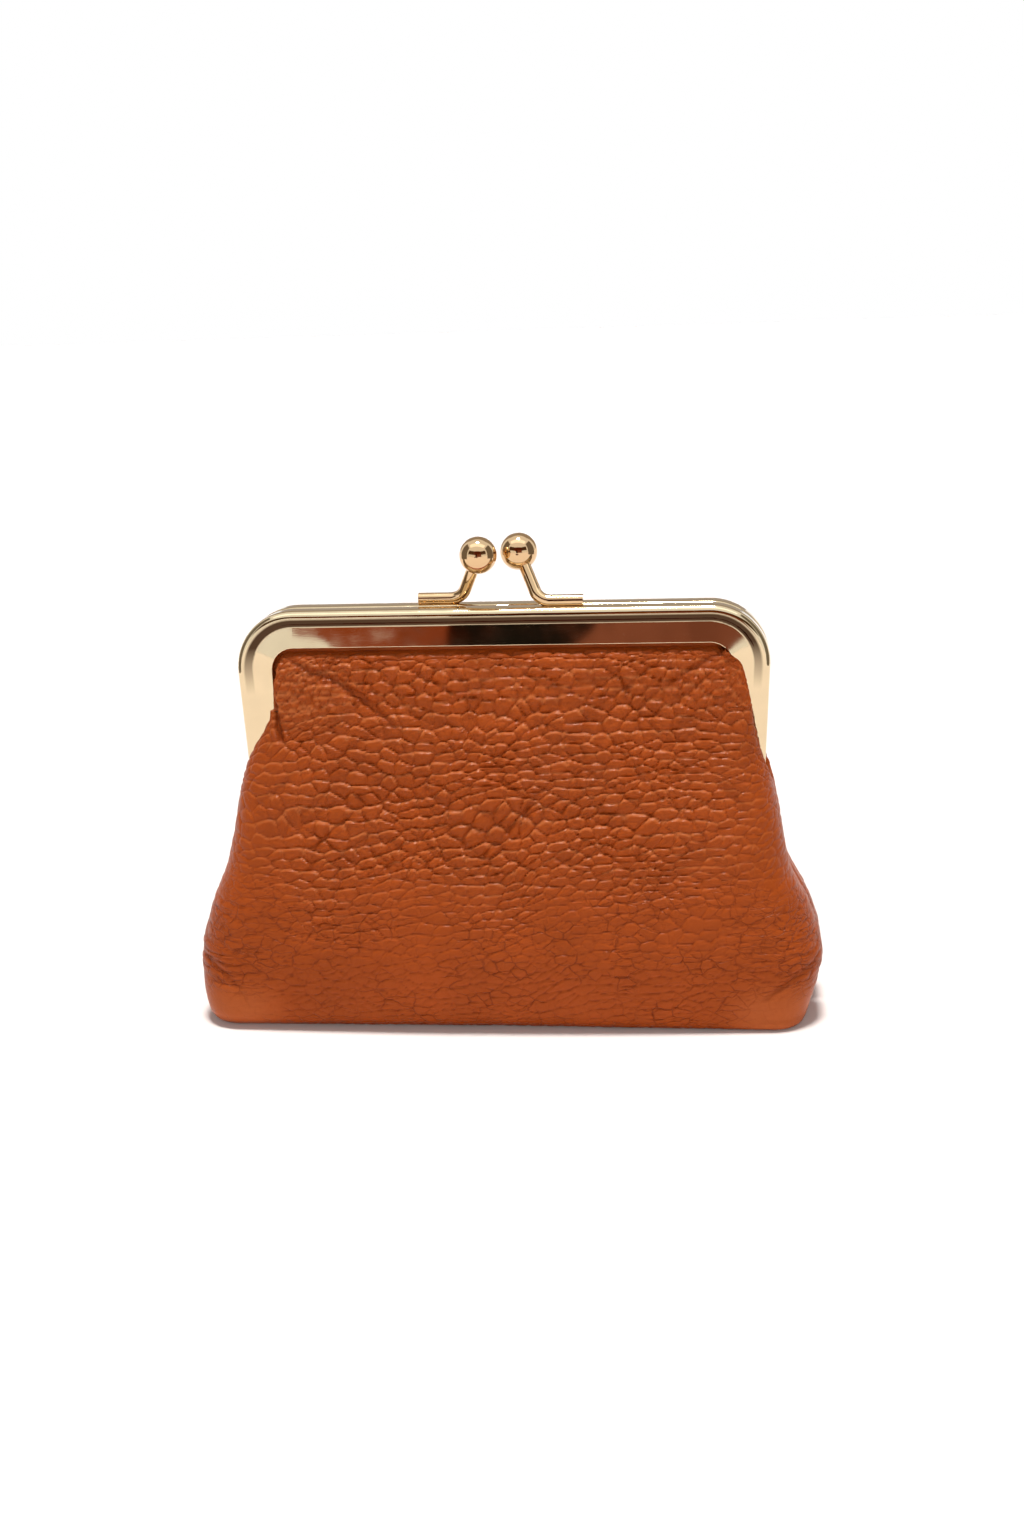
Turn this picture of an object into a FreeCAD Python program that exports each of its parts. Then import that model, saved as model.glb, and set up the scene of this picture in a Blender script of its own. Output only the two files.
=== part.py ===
"""Kiss lock frame purse: two pressed frame halves on two rivets, a ball clasp and a boxed leather bag.

The purse stands on its base at Z 0, centred on the origin. X runs along the frame, the front faces -Y.
Every piece of the front half is drawn once and turned half a turn about Z to make the back half.
"""
import FreeCAD, Part
import os
import re
import Sketcher

HALF_TURN = 180
UP = FreeCAD.Vector(0, 0, 1)
FRONT = FreeCAD.Rotation(UP, 0)
BACK = FreeCAD.Rotation(UP, HALF_TURN)
HALVES = (("front", FRONT), ("back", BACK))

# Driving sizes in millimetres; those named lean, turn, tilt or angle are degrees, shares are plain numbers.
SIZES = {
    # pressed frame
    "frame_width": 95.0,
    "frame_rise": 27.5,
    "frame_corner": 10.5,
    "leg_lean": 2.8,
    "leg_overrun": 1.0,
    "parting_gap": 0.3,
    "plate": 0.6,
    "top_round": 1.0,
    "top_flat": 2.05,
    "bead_radius": 1.4,
    "bead_turn": 40.0,
    "groove_radius": 0.8,
    "flange_tilt": 12.0,
    "flange_drop": 6.7,
    "parting_drop": 5.4,
    # hinge
    "hinge_height": 47.0,
    "ear_radius": 2.6,
    "ear_plate": 0.65,
    "ear_inset": 1.5,
    "ear_gap": 0.15,
    "ear_clear": 0.35,
    "ear_strap": 8.0,
    "strap_width": 3.4,
    "rivet_radius": 0.8,
    "rivet_clear": 0.05,
    "rivet_head_radius": 1.7,
    "rivet_head": 0.6,
    "rivet_rim": 0.25,
    # clasp
    "ball_radius": 3.3,
    "ball_gap": 0.2,
    "ball_rise": 9.1,
    "ball_reach": 2.0,
    "stem_radius": 1.1,
    "stem_angle": 68.0,
    "stem_bend": 3.0,
    "stem_bite": 2.0,
    "stem_fit": 0.02,
    "foot_length": 5.75,
    "foot_flat": 0.25,
    # leather bag, its full width and depth at the belly and where it meets the frame
    "bag_width": 114.6,
    "bag_depth": 36.0,
    "shoulder_depth": 16.6,
    "waist_past": 0.32,
    "shoulder_past": 2.76,
    "heel_height": 3.5,
    "belly_height": 12.0,
    "hip_height": 20.0,
    "flank_height": 29.0,
    "throat_gap": 0.6,
    "leather": 1.2,
    "lining": 0.35,
    "layer_gap": 0.05,
    "lining_gap": 0.12,
    "lining_ease": 1.6,
    "tab_margin": 2.0,
    "tab_foot": 10.0,
    "tab_round": 1.6,
    "channel_clear": 0.1,
    "leg_clear": 0.5,
    "cord_radius": 0.4,
    "cord_depth": 3.2,
    "overrun": 5.0,
    # shares of the swell from the waist's width, and from the shoulder's depth, that each level has
    "base_width_share": 0.388,
    "base_depth_share": 0.433,
    "heel_width_share": 0.8,
    "heel_depth_share": 0.794,
    "hip_width_share": 0.825,
    "hip_depth_share": 0.918,
    "flank_width_share": 0.456,
    "flank_depth_share": 0.742,
    "waist_depth_share": 0.309,
    # shares of the bag's half depth taken by its corners and by the bow of its face
    "corner_share": 0.6,
    "bow_share": 0.12,
    # radius of the frame's rolled lip over half its thickness
    "lip_share": 1.02,
}
NAMES = re.compile(r"\b(" + "|".join(sorted(SIZES, key=len, reverse=True)) + r")\b")

# Derived places, as sums of the driving sizes; forward counts from the parting plane towards the face.
TOP = "(hinge_height + frame_rise)"
LEAN = "(leg_lean * 1deg)"
TURN = "(bead_turn * 1deg)"
TILT = "(flange_tilt * 1deg)"
PARTING = "(parting_gap / 2)"
BEAD_FORWARD = f"({PARTING} + top_round + top_flat)"
CORNER_X = "(frame_width / 2 - frame_corner)"
LEG_TOP = f"({TOP} - frame_corner - frame_corner * sin({LEAN}))"
LEG_END = "(hinge_height - leg_overrun)"
LEG_LEAN_IN = f"(({LEG_TOP} - {LEG_END}) * tan({LEAN}))"
HINGE_X = f"({CORNER_X} + frame_corner * cos({LEAN}) - ({LEG_TOP} - hinge_height) * tan({LEAN}))"
OUTER_EAR = f"({HINGE_X} - plate - ear_inset + ear_plate + ear_gap)"
INNER_EAR = f"({HINGE_X} - plate - ear_inset)"
FOOT_FORWARD = f"({PARTING} + top_round + top_flat / 2)"
FOOT_RISE = "(stem_radius - foot_flat)"
TAB_BACK = f"({PARTING} + plate + layer_gap + 2 * cord_radius + layer_gap + lining + layer_gap)"
OPENING = f"(frame_width / 2 - flange_drop - {LEG_LEAN_IN} - channel_clear)"
THROAT = f"({TOP} - flange_drop - throat_gap)"
TAB_LOW = "(hinge_height + tab_foot)"
WAIST_WIDTH = f"(2 * ({HINGE_X} + waist_past))"
SHOULDER_WIDTH = f"(2 * ({OPENING} + shoulder_past))"
THROAT_DEPTH = f"(2 * ({TAB_BACK} + leather))"

doc = FreeCAD.newDocument("kiss_lock_purse")
sheet = doc.addObject("Spreadsheet::Sheet", "Sizes")
for row, (alias, number) in enumerate(SIZES.items(), start=1):
    sheet.set(f"A{row}", alias)
    sheet.set(f"B{row}", str(number))
    sheet.setAlias(f"B{row}", alias)
doc.recompute()


def full(text):
    """The expression with each size named as the sheet's own cell."""
    return NAMES.sub(r"Sizes.\1", text)


def value(text):
    """The number that an expression gives now."""
    number = sheet.evalExpression(full(text))
    return float(getattr(number, "Value", number))


def new_body(label, turn):
    """An empty body, turned about Z to its half of the purse."""
    body = doc.addObject("PartDesign::Body", label)
    body.Label = label
    body.Placement = FreeCAD.Placement(FreeCAD.Vector(0, 0, 0), turn)
    return body


def new_sketch(body, name, plane, raised="0", across="0"):
    """A sketch on one of the body's origin planes, raised along the plane's normal and moved up in it."""
    sketch = body.newObject("Sketcher::SketchObject", name)
    origin = next(item for item in body.Origin.OriginFeatures if item.Role == plane)
    sketch.AttachmentSupport = [(origin, "")]
    sketch.MapMode = "FlatFace"
    sketch.setExpression("AttachmentOffset.Base.y", full(across))
    sketch.setExpression("AttachmentOffset.Base.z", full(raised))
    return sketch


def pin(sketch, geometry, end, axis, text):
    """Binds one coordinate of a point to an expression."""
    number = value(text)
    if text == "0":
        rail = -2 if axis == "DistanceX" else -1
        sketch.addConstraint(Sketcher.Constraint("PointOnObject", geometry, end, rail))
        return
    ends = (-1, 1, geometry, end) if number > 0 else (geometry, end, -1, 1)
    row = sketch.addConstraint(Sketcher.Constraint(axis, *ends, abs(number)))
    sketch.setExpression(f"Constraints[{row}]", full(text if number > 0 else f"-({text})"))


def arc_centre(first, last, radius, left):
    """Centre of the arc of under half a turn from first to last that turns left or right."""
    chord = last - first
    aside = FreeCAD.Vector(-chord.y, chord.x, 0).normalize()
    reach = max(radius**2 - (chord.Length / 2) ** 2, 0.0) ** 0.5
    return (first + last) / 2 + aside * (reach if left else -reach)


def draw(sketch, start, steps, closed=True):
    """A chain of lines and arcs. A step is (x, y) or (x, y, radius, left) in expressions."""
    places = [start] + [step[:2] for step in steps]
    points = [FreeCAD.Vector(value(x), value(y), 0) for x, y in places]
    tails = []
    for index, step in enumerate(steps):
        first, last = points[index], points[index + 1]
        if len(step) == 2:
            geometry = sketch.addGeometry(Part.LineSegment(first, last))
            head, tail = 1, 2
        else:
            radius = value(step[2])
            centre = arc_centre(first, last, radius, step[3])
            low, high = (first, last) if step[3] else (last, first)
            angles = [FreeCAD.Vector(1, 0, 0).getAngle(p - centre) for p in (low, high)]
            angles = [a if (p - centre).y >= 0 else -a for a, p in zip(angles, (low, high))]
            round_edge = Part.Circle(centre, UP, radius)
            geometry = sketch.addGeometry(Part.ArcOfCircle(round_edge, *angles))
            head, tail = (1, 2) if step[3] else (2, 1)
            row = sketch.addConstraint(Sketcher.Constraint("Radius", geometry, radius))
            sketch.setExpression(f"Constraints[{row}]", full(step[2]))
        if tails:
            sketch.addConstraint(Sketcher.Constraint("Coincident", *tails[-1], geometry, head))
        else:
            first_end = (geometry, head)
        tails.append((geometry, tail))
    ends = [first_end] + tails
    if closed:
        sketch.addConstraint(Sketcher.Constraint("Coincident", *ends.pop(), *first_end))
    for (geometry, end), (x, y) in zip(ends, places):
        pin(sketch, geometry, end, "DistanceX", x)
        pin(sketch, geometry, end, "DistanceY", y)


def draw_circle(sketch, x, y, radius):
    """A circle whose centre and radius are expressions."""
    centre = FreeCAD.Vector(value(x), value(y), 0)
    geometry = sketch.addGeometry(Part.Circle(centre, UP, value(radius)))
    pin(sketch, geometry, 3, "DistanceX", x)
    pin(sketch, geometry, 3, "DistanceY", y)
    row = sketch.addConstraint(Sketcher.Constraint("Radius", geometry, value(radius)))
    sketch.setExpression(f"Constraints[{row}]", full(radius))


def draw_box(sketch, left, right, low, high):
    """A rectangle between expressions."""
    draw(sketch, (left, low), [(right, low), (right, high), (left, high), (left, low)])


def feature(body, kind, name, profile, **settings):
    """A PartDesign feature on a profile; text settings are bound as expressions."""
    made = body.newObject(f"PartDesign::{kind}", name)
    made.Profile = profile
    for key, setting in settings.items():
        if key == "Length":
            made.setExpression("Length", full(setting))
        else:
            setattr(made, key, setting)
    doc.recompute()
    return made


def cut(body, kind, name, profile, **settings):
    """A subtractive feature, which has to take material away."""
    before = body.Shape.Volume
    made = feature(body, kind, name, profile, **settings)
    if not made.Shape.Volume < before:
        raise RuntimeError(f"{body.Label}: {name} removes nothing")
    return made


def frame_path(body, name, inset, forward, end):
    """Half of the frame's U, from the middle of the top bar to the right leg, inset from its outer edge."""
    path = new_sketch(body, name, "XZ_Plane", raised=forward)
    radius = f"(frame_corner - {inset})"
    leg_x = f"({CORNER_X} + {radius} * cos({LEAN}))"
    leg_z = f"({TOP} - frame_corner - {radius} * sin({LEAN}))"
    steps = [
        (CORNER_X, f"{TOP} - {inset}"),
        (leg_x, leg_z, radius, False),
        (f"{leg_x} - ({leg_z} - {end}) * tan({LEAN})", end),
    ]
    draw(path, ("0", f"{TOP} - {inset}"), steps, closed=False)
    return path


def mirrored(body, name):
    """Copies the whole body across the middle plane of the purse."""
    made = body.newObject("PartDesign::Mirrored", name)
    made.MirrorPlane = (next(o for o in body.Origin.OriginFeatures if o.Role == "YZ_Plane"), [""])
    made.TransformMode = "Whole shape"
    body.Tip = made
    doc.recompute()
    return made


def channel_profile(body):
    """Section of the pressed channel at the middle of the top bar: bead, groove, sloping flange, lip."""
    sketch = new_sketch(body, "channel_section", "YZ_Plane")
    inner_bead = "(bead_radius - plate)"
    outer_groove = "(groove_radius + plate)"
    span = "(bead_radius + groove_radius)"
    groove = (f"({BEAD_FORWARD} + {span} * cos({TURN}))", f"(bead_radius + {span} * sin({TURN}))")
    lip_down = "(flange_drop - plate / 2)"

    def at(forward, down):
        return f"-({forward})", f"{TOP} - ({down})"

    def on_bead(radius):
        forward = f"{BEAD_FORWARD} + {radius} * cos({TURN})"
        return at(forward, f"bead_radius + {radius} * sin({TURN})")

    def under_groove(radius):
        return at(f"{groove[0]} - {radius} * cos({TILT})", f"{groove[1]} + {radius} * sin({TILT})")

    def at_lip(radius):
        reach = f"({lip_down} - ({groove[1]} + {radius} * sin({TILT})))"
        return at(f"{groove[0]} - {radius} * cos({TILT}) + {reach} * tan({TILT})", lip_down)

    lip_radius = f"(plate / cos({TILT}) / 2)"
    steps = [
        at(PARTING, "top_round"),
        (*at(f"{PARTING} + top_round", "0"), "top_round", True),
        at(BEAD_FORWARD, "0"),
        (*on_bead("bead_radius"), "bead_radius", True),
        (*under_groove("groove_radius"), "groove_radius", False),
        at_lip("groove_radius"),
        (*at_lip(outer_groove), f"{lip_radius} * lip_share", True),
        under_groove(outer_groove),
        (*on_bead(inner_bead), outer_groove, True),
        (*at(BEAD_FORWARD, "plate"), inner_bead, False),
        at(f"{PARTING} + top_round", "plate"),
        (*at(f"{PARTING} + plate", "top_round"), "(top_round - plate)", False),
        at(f"{PARTING} + plate", "parting_drop"),
        at(PARTING, "parting_drop"),
    ]
    draw(sketch, at(PARTING, "parting_drop"), steps)
    return sketch


def hinge_ear(body, name, inner_face):
    """A flat ear round the hinge axis whose strap runs up inside the leg."""
    sketch = new_sketch(body, name, "YZ_Plane", raised=inner_face)
    inner = f"-({PARTING} + plate / 2)"
    outer = f"-({PARTING} + plate / 2 + strap_width)"
    strap_top = "hinge_height + ear_strap"
    meet = f"hinge_height + sqrt(ear_radius ^ 2 - ({PARTING} + plate / 2) ^ 2)"
    steps = [
        (inner, meet),
        ("ear_radius", "hinge_height", "ear_radius", False),
        ("0", "hinge_height - ear_radius", "ear_radius", False),
        ("-ear_radius", "hinge_height", "ear_radius", False),
        (outer, "hinge_height + ear_radius"),
        (outer, strap_top),
        (inner, strap_top),
    ]
    draw(sketch, (inner, strap_top), steps)
    feature(body, "Pad", f"{name}_pad", sketch, Length="ear_plate")


def frame_channel(half, turn):
    """One pressed half of the frame, with an outer ear on one leg and an inner ear on the other."""
    body = new_body(f"{half}_frame_channel", turn)
    section = channel_profile(body)
    path = frame_path(body, "channel_path", "0", "0", LEG_END)
    feature(body, "AdditivePipe", "channel_sweep", section, Spine=(path, ["Edge1", "Edge2", "Edge3"]))
    mirrored(body, "both_legs")
    room = new_sketch(body, "ear_room", "YZ_Plane")
    draw_circle(room, "0", "hinge_height", "ear_radius + ear_clear")
    cut(body, "Pocket", "ear_room_cut", room, Length="frame_width + 2 * overrun", Midplane=True)
    hinge_ear(body, "outer_ear", OUTER_EAR)
    hinge_ear(body, "inner_ear", f"-({INNER_EAR} + ear_plate)")
    hole = new_sketch(body, "rivet_hole", "YZ_Plane")
    draw_circle(hole, "0", "hinge_height", "rivet_radius + rivet_clear")
    cut(body, "Pocket", "rivet_holes", hole, Length="frame_width + 2 * overrun", Midplane=True)
    return body


def paper_cord(half, turn):
    """The paper string that wedges the leather in one channel."""
    body = new_body(f"{half}_paper_cord", turn)
    forward = f"({PARTING} + plate + layer_gap + cord_radius)"
    section = new_sketch(body, "cord_section", "YZ_Plane")
    draw_circle(section, f"-{forward}", f"{TOP} - cord_depth", "cord_radius")
    path = frame_path(body, "cord_path", "cord_depth", forward, TAB_LOW)
    feature(body, "AdditivePipe", "cord_sweep", section, Spine=(path, ["Edge1", "Edge2", "Edge3"]))
    mirrored(body, "both_runs")
    return body


BALL_X = "(ball_radius + ball_gap / 2)"
BALL_AWAY = f"({FOOT_FORWARD} + ball_reach)"
BALL_UP = f"(ball_rise - {FOOT_RISE})"
BALL_REACH = f"sqrt({BALL_AWAY} ^ 2 + {BALL_UP} ^ 2)"
STEM_LEAN = f"atan({BALL_AWAY} / {BALL_UP})"
STEM = "(stem_angle * 1deg)"
STEM_RUN = f"(({BALL_REACH} - stem_bend * (1 - cos({STEM}))) / sin({STEM}))"
BEND_X = f"({BALL_X} + stem_bend * sin({STEM}) + {STEM_RUN} * cos({STEM}))"
FOOT_END = f"({BEND_X} + foot_length)"


def stem_path(body):
    """The stem's centre line in its leaning plane: along the foot, round the bend, up to the ball."""
    path = new_sketch(body, "stem_path", "XZ_Plane", raised=FOOT_FORWARD, across=f"{TOP} + {FOOT_RISE}")
    leaning = FreeCAD.Rotation(FreeCAD.Vector(-1, 0, 0), value(STEM_LEAN))
    path.AttachmentOffset = FreeCAD.Placement(path.AttachmentOffset.Base, leaning)
    path.setExpression("AttachmentOffset.Rotation.Angle", full(STEM_LEAN))
    inside = "(ball_radius - stem_bite)"
    steps = [
        (BEND_X, "0"),
        (f"{BEND_X} - stem_bend * sin({STEM})", f"stem_bend * (1 - cos({STEM}))", "stem_bend", False),
        (f"{BALL_X} + {inside} * cos({STEM})", f"{BALL_REACH} - {inside} * sin({STEM})"),
    ]
    draw(path, (FOOT_END, "0"), steps, closed=False)
    return path


def stem_section(body, radius):
    """The rod's round section at the end of the foot."""
    section = new_sketch(body, "stem_section", "YZ_Plane", raised=FOOT_END)
    draw_circle(section, f"-{FOOT_FORWARD}", f"{TOP} + {FOOT_RISE}", radius)
    return section


def clasp_stem(half, turn):
    """A bent rod whose flattened foot lies on the top of its frame half and which leans over the other."""
    body = new_body(f"{half}_clasp_stem", turn)
    section = stem_section(body, "stem_radius")
    path = stem_path(body)
    feature(body, "AdditivePipe", "stem_sweep", section, Spine=(path, ["Edge1", "Edge2", "Edge3"]))
    seat = new_sketch(body, "foot_seat", "XY_Plane", raised=TOP)
    draw_box(seat, "overrun / 2", f"{FOOT_END} + overrun", f"-{FOOT_FORWARD} - overrun", "overrun")
    cut(body, "Pocket", "foot_flat_cut", seat, Length="overrun")
    return body


def clasp_ball(half, turn):
    """A ball with a blind bore that takes the end of its stem."""
    body = new_body(f"{half}_clasp_ball", turn)
    disc = new_sketch(body, "half_disc", "XY_Plane", raised=f"{TOP} + ball_rise", across="ball_reach")
    disc.setExpression("AttachmentOffset.Base.x", full(BALL_X))
    steps = [
        ("ball_radius", "0", "ball_radius", True),
        ("0", "ball_radius", "ball_radius", True),
        ("0", "-ball_radius"),
    ]
    draw(disc, ("0", "-ball_radius"), steps)
    feature(body, "Revolution", "sphere", disc, ReferenceAxis=(disc, ["V_Axis"]))
    section = stem_section(body, "stem_radius + stem_fit")
    path = stem_path(body)
    cut(body, "SubtractivePipe", "stem_bore", section, Spine=(path, ["Edge1", "Edge2", "Edge3"]))
    return body


def hinge_rivet(side, turn):
    """A rivet with two domed heads through both ears of one side."""
    body = new_body(f"hinge_rivet_{side}", turn)
    sketch = new_sketch(body, "rivet_section", "XZ_Plane", across="hinge_height")
    inside = f"({INNER_EAR} - rivet_clear)"
    outside = f"({OUTER_EAR} + ear_plate + rivet_clear)"
    dome = "((rivet_head_radius ^ 2 + (rivet_head - rivet_rim) ^ 2) / (2 * (rivet_head - rivet_rim)))"
    steps = [
        (f"{inside} - rivet_rim", "rivet_head_radius", dome, False),
        (inside, "rivet_head_radius"),
        (inside, "rivet_radius"),
        (outside, "rivet_radius"),
        (outside, "rivet_head_radius"),
        (f"{outside} + rivet_rim", "rivet_head_radius"),
        (f"{outside} + rivet_head", "0", dome, False),
        (f"{inside} - rivet_head", "0"),
    ]
    draw(sketch, (f"{inside} - rivet_head", "0"), steps)
    feature(body, "Revolution", "rivet", sketch, ReferenceAxis=(sketch, ["H_Axis"]))
    return body


def level_width(level):
    """Full width of the bag at a level between its waist and its belly."""
    return f"({WAIST_WIDTH} + {level}_width_share * (bag_width - {WAIST_WIDTH}))"


def level_depth(level):
    """Full depth of the bag at a level between its shoulder and its belly."""
    return f"(shoulder_depth + {level}_depth_share * (bag_depth - shoulder_depth))"


def bag_levels(floor, throat):
    """Name, height, width and depth of each level of the bag, from its floor to its throat."""
    return (
        ("base", floor, level_width("base"), level_depth("base")),
        ("heel", "heel_height", level_width("heel"), level_depth("heel")),
        ("belly", "belly_height", "bag_width", "bag_depth"),
        ("hip", "hip_height", level_width("hip"), level_depth("hip")),
        ("flank", "flank_height", level_width("flank"), level_depth("flank")),
        ("waist", "hinge_height", WAIST_WIDTH, level_depth("waist")),
        ("shoulder", TAB_LOW, SHOULDER_WIDTH, "shoulder_depth"),
        ("throat", throat, SHOULDER_WIDTH, THROAT_DEPTH),
    )


def bag_section(body, name, height, width, depth, back):
    """Half of the bag's outline at one height: straight sides, round corners and a bowed face."""
    sketch = new_sketch(body, name, "XY_Plane", raised=height)
    corner = f"({depth} * corner_share)"
    flat = f"({width} - {corner})"
    bow = f"({depth} * bow_share)"
    face = f"(({flat} ^ 2 + {bow} ^ 2) / (2 * {bow}))"
    centre = f"({face} - {depth})"
    side = f"(sqrt(({face} - {corner}) ^ 2 - {flat} ^ 2) - {centre})"
    meet_x = f"({flat} * {face} / ({face} - {corner}))"
    meet_y = f"({centre} - {face} * ({side} + {centre}) / ({face} - {corner}))"
    steps = [
        (f"-{width}", f"-{side}"),
        (f"-{meet_x}", meet_y, corner, True),
        (meet_x, meet_y, face, True),
        (width, f"-{side}", corner, True),
        (width, back),
        (f"-{width}", back),
    ]
    draw(sketch, (f"-{width}", back), steps)
    return sketch


def bag_loft(body, kind, name, inset, throat, back):
    """The bag's body drawn in by inset all round: smooth up to its shoulder, then straight to its throat."""
    sketches = []
    for level, height, width, depth in bag_levels(inset, throat):
        half_width = f"({width} / 2 - {inset})"
        half_depth = f"({depth} / 2 - {inset})"
        sketches.append(bag_section(body, f"{name}_{level}", height, half_width, half_depth, back))
    make = cut if kind == "SubtractiveLoft" else feature
    make(body, kind, name, sketches[0], Sections=sketches[1:-1])
    make(body, kind, f"{name}_neck", sketches[-2], Sections=sketches[-1:], Ruled=True)


def leg_notches(body, reach):
    """Round-ended notches where the frame's legs and hinges stand between the front and back of the bag."""
    room = f"({BEAD_FORWARD} + bead_radius + leg_clear)"
    high = f"({TOP} + overrun)"
    for side, start, outwards in (("left", f"-{reach}", False), ("right", reach, True)):
        notch = new_sketch(body, f"{side}_leg_notch", "YZ_Plane", raised=start)
        steps = [
            (f"-{room}", "hinge_height"),
            ("0", f"hinge_height - {room}", room, True),
            ("overrun", f"hinge_height - {room}"),
            ("overrun", high),
            (f"-{room}", high),
        ]
        draw(notch, (f"-{room}", high), steps)
        cut(body, "Pocket", f"{side}_leg_cut", notch, Length="frame_width", Reversed=outwards)


def clear_mouth(body):
    """Takes away what would stand behind the leather's tab, in the mouth of the bag."""
    mouth = new_sketch(body, "mouth", "XY_Plane", raised=TAB_LOW)
    draw_box(mouth, "-frame_width", "frame_width", f"-{TAB_BACK}", "overrun")
    cut(body, "Pocket", "mouth_cut", mouth, Length="frame_rise + overrun", Reversed=True)


def trim_ends(body, reach):
    """Takes away what would stand in the leather's return walls beside the legs."""
    for side, start, outwards in (("left", f"-{reach}", False), ("right", reach, True)):
        end = new_sketch(body, f"{side}_end", "YZ_Plane", raised=start)
        draw_box(end, "-bag_depth", "overrun", TAB_LOW, f"({TOP} + overrun)")
        cut(body, "Pocket", f"{side}_end_cut", end, Length="frame_width", Reversed=outwards)


def grip_tab(body, inner, thickness, tab_back, throat):
    """The U-shaped edge that goes into the channel of the frame half."""
    tab = new_sketch(body, "tab", "XZ_Plane", raised=tab_back)
    outer = "(frame_width / 2 - tab_margin)"
    outer_round = "(frame_corner - tab_margin)"
    high = f"({TOP} - tab_margin)"
    rim = f"({throat} - throat_gap)"
    steps = [
        (f"-{outer}", f"{high} - {outer_round}"),
        (f"-({outer} - {outer_round})", high, outer_round, False),
        (f"{outer} - {outer_round}", high),
        (outer, f"{high} - {outer_round}", outer_round, False),
        (outer, TAB_LOW),
        (inner, TAB_LOW),
        (inner, f"{rim} - tab_round"),
        (f"{inner} - tab_round", rim, "tab_round", True),
        (f"-({inner} - tab_round)", rim),
        (f"-{inner}", f"{rim} - tab_round", "tab_round", True),
        (f"-{inner}", TAB_LOW),
        (f"-{outer}", TAB_LOW),
    ]
    draw(tab, (f"-{outer}", TAB_LOW), steps)
    feature(body, "Pad", "tab_pad", tab, Length=thickness)


def return_walls(body):
    """The strips beside the legs where the leather's face turns back into the channels."""
    depth = "(shoulder_depth / 2)"
    corner = f"({depth} * corner_share)"
    past = f"({corner} - shoulder_past)"
    face = f"({depth} * (1 - corner_share - bow_share) + sqrt({corner} ^ 2 - {past} ^ 2))"
    for side, start in (("left", f"-{OPENING}"), ("right", f"({OPENING} - leather)")):
        wall = new_sketch(body, f"{side}_return", "YZ_Plane", raised=start)
        steps = [
            (f"-({face} - leather / 2)", TAB_LOW),
            (f"-({TAB_BACK} + leather)", THROAT),
            (f"-{TAB_BACK}", THROAT),
            (f"-{TAB_BACK}", TAB_LOW),
        ]
        draw(wall, (f"-{TAB_BACK}", TAB_LOW), steps)
        feature(body, "Pad", f"{side}_return_pad", wall, Length="leather")


def bag_layer(label, turn, inset, reach, thickness, tab_back, throat):
    """One layer of one half of the bag, with the tab that its frame half grips."""
    body = new_body(label, turn)
    bag_loft(body, "AdditiveLoft", "outside", inset, throat, "0")
    bag_loft(body, "SubtractiveLoft", "inside", f"({inset} + {thickness})", throat, "overrun")
    leg_notches(body, reach)
    if inset == "0":
        clear_mouth(body)
    else:
        trim_ends(body, reach)
    grip_tab(body, f"({reach} - {thickness})", thickness, tab_back, throat)
    return body


pieces = []
for half, turn in HALVES:
    panel = bag_layer(f"leather_{half}_panel", turn, "0", OPENING, "leather", TAB_BACK, THROAT)
    return_walls(panel)
    pieces.append(panel)
    inset = "(leather + lining_gap)"
    reach = f"({OPENING} - {inset} - lining_ease)"
    tab_back = f"({TAB_BACK} - layer_gap - lining)"
    throat = f"({THROAT} - throat_gap - lining_gap)"
    pieces.append(bag_layer(f"lining_{half}", turn, inset, reach, "lining", tab_back, throat))
    pieces.append(frame_channel(half, turn))
    pieces.append(paper_cord(half, turn))
    pieces.append(clasp_stem(half, turn))
    pieces.append(clasp_ball(half, turn))
for side, turn in (("right", FRONT), ("left", BACK)):
    pieces.append(hinge_rivet(side, turn))
doc.recompute()

for item in doc.Objects:
    if "Invalid" in item.State or "Error" in item.State:
        raise RuntimeError(f"{item.Label} failed: {item.State}")
for piece in pieces:
    shape = piece.Shape
    if shape.isNull() or not shape.isValid() or len(shape.Solids) != 1:
        raise RuntimeError(f"{piece.Label} is not one sound solid: {len(shape.Solids)} solids")

os.makedirs("parts", exist_ok=True)
for piece in pieces:
    piece.Shape.exportStep(f"parts/{piece.Label}.step")
    print(piece.Label, round(piece.Shape.Volume, 2))
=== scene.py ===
"""Kiss lock frame purse: pebbled leather, cloth lining, polished gold frame and paper string."""
import math

import bpy
import numpy as np
from mathutils import Matrix, Vector


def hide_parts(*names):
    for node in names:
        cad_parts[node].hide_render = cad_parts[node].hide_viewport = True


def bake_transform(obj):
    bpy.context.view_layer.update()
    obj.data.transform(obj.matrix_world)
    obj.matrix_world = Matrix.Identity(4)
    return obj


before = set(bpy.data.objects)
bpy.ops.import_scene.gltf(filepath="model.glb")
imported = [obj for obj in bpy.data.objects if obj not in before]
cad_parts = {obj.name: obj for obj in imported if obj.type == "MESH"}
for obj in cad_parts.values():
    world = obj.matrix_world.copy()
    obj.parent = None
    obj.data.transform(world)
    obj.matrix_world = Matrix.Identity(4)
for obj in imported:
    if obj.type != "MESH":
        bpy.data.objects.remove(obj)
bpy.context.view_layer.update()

bl_info = {
    "name": "Kiss Lock Frame Purse",
    "version": (1, 0, 0),
    "blender": (4, 5, 0),
    "location": "View3D > Sidebar > Purse",
    "description": "Makes the leather, lining, metal finishes and studio of a kiss lock frame purse",
    "category": "Object",
}

MM = 0.001

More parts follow.
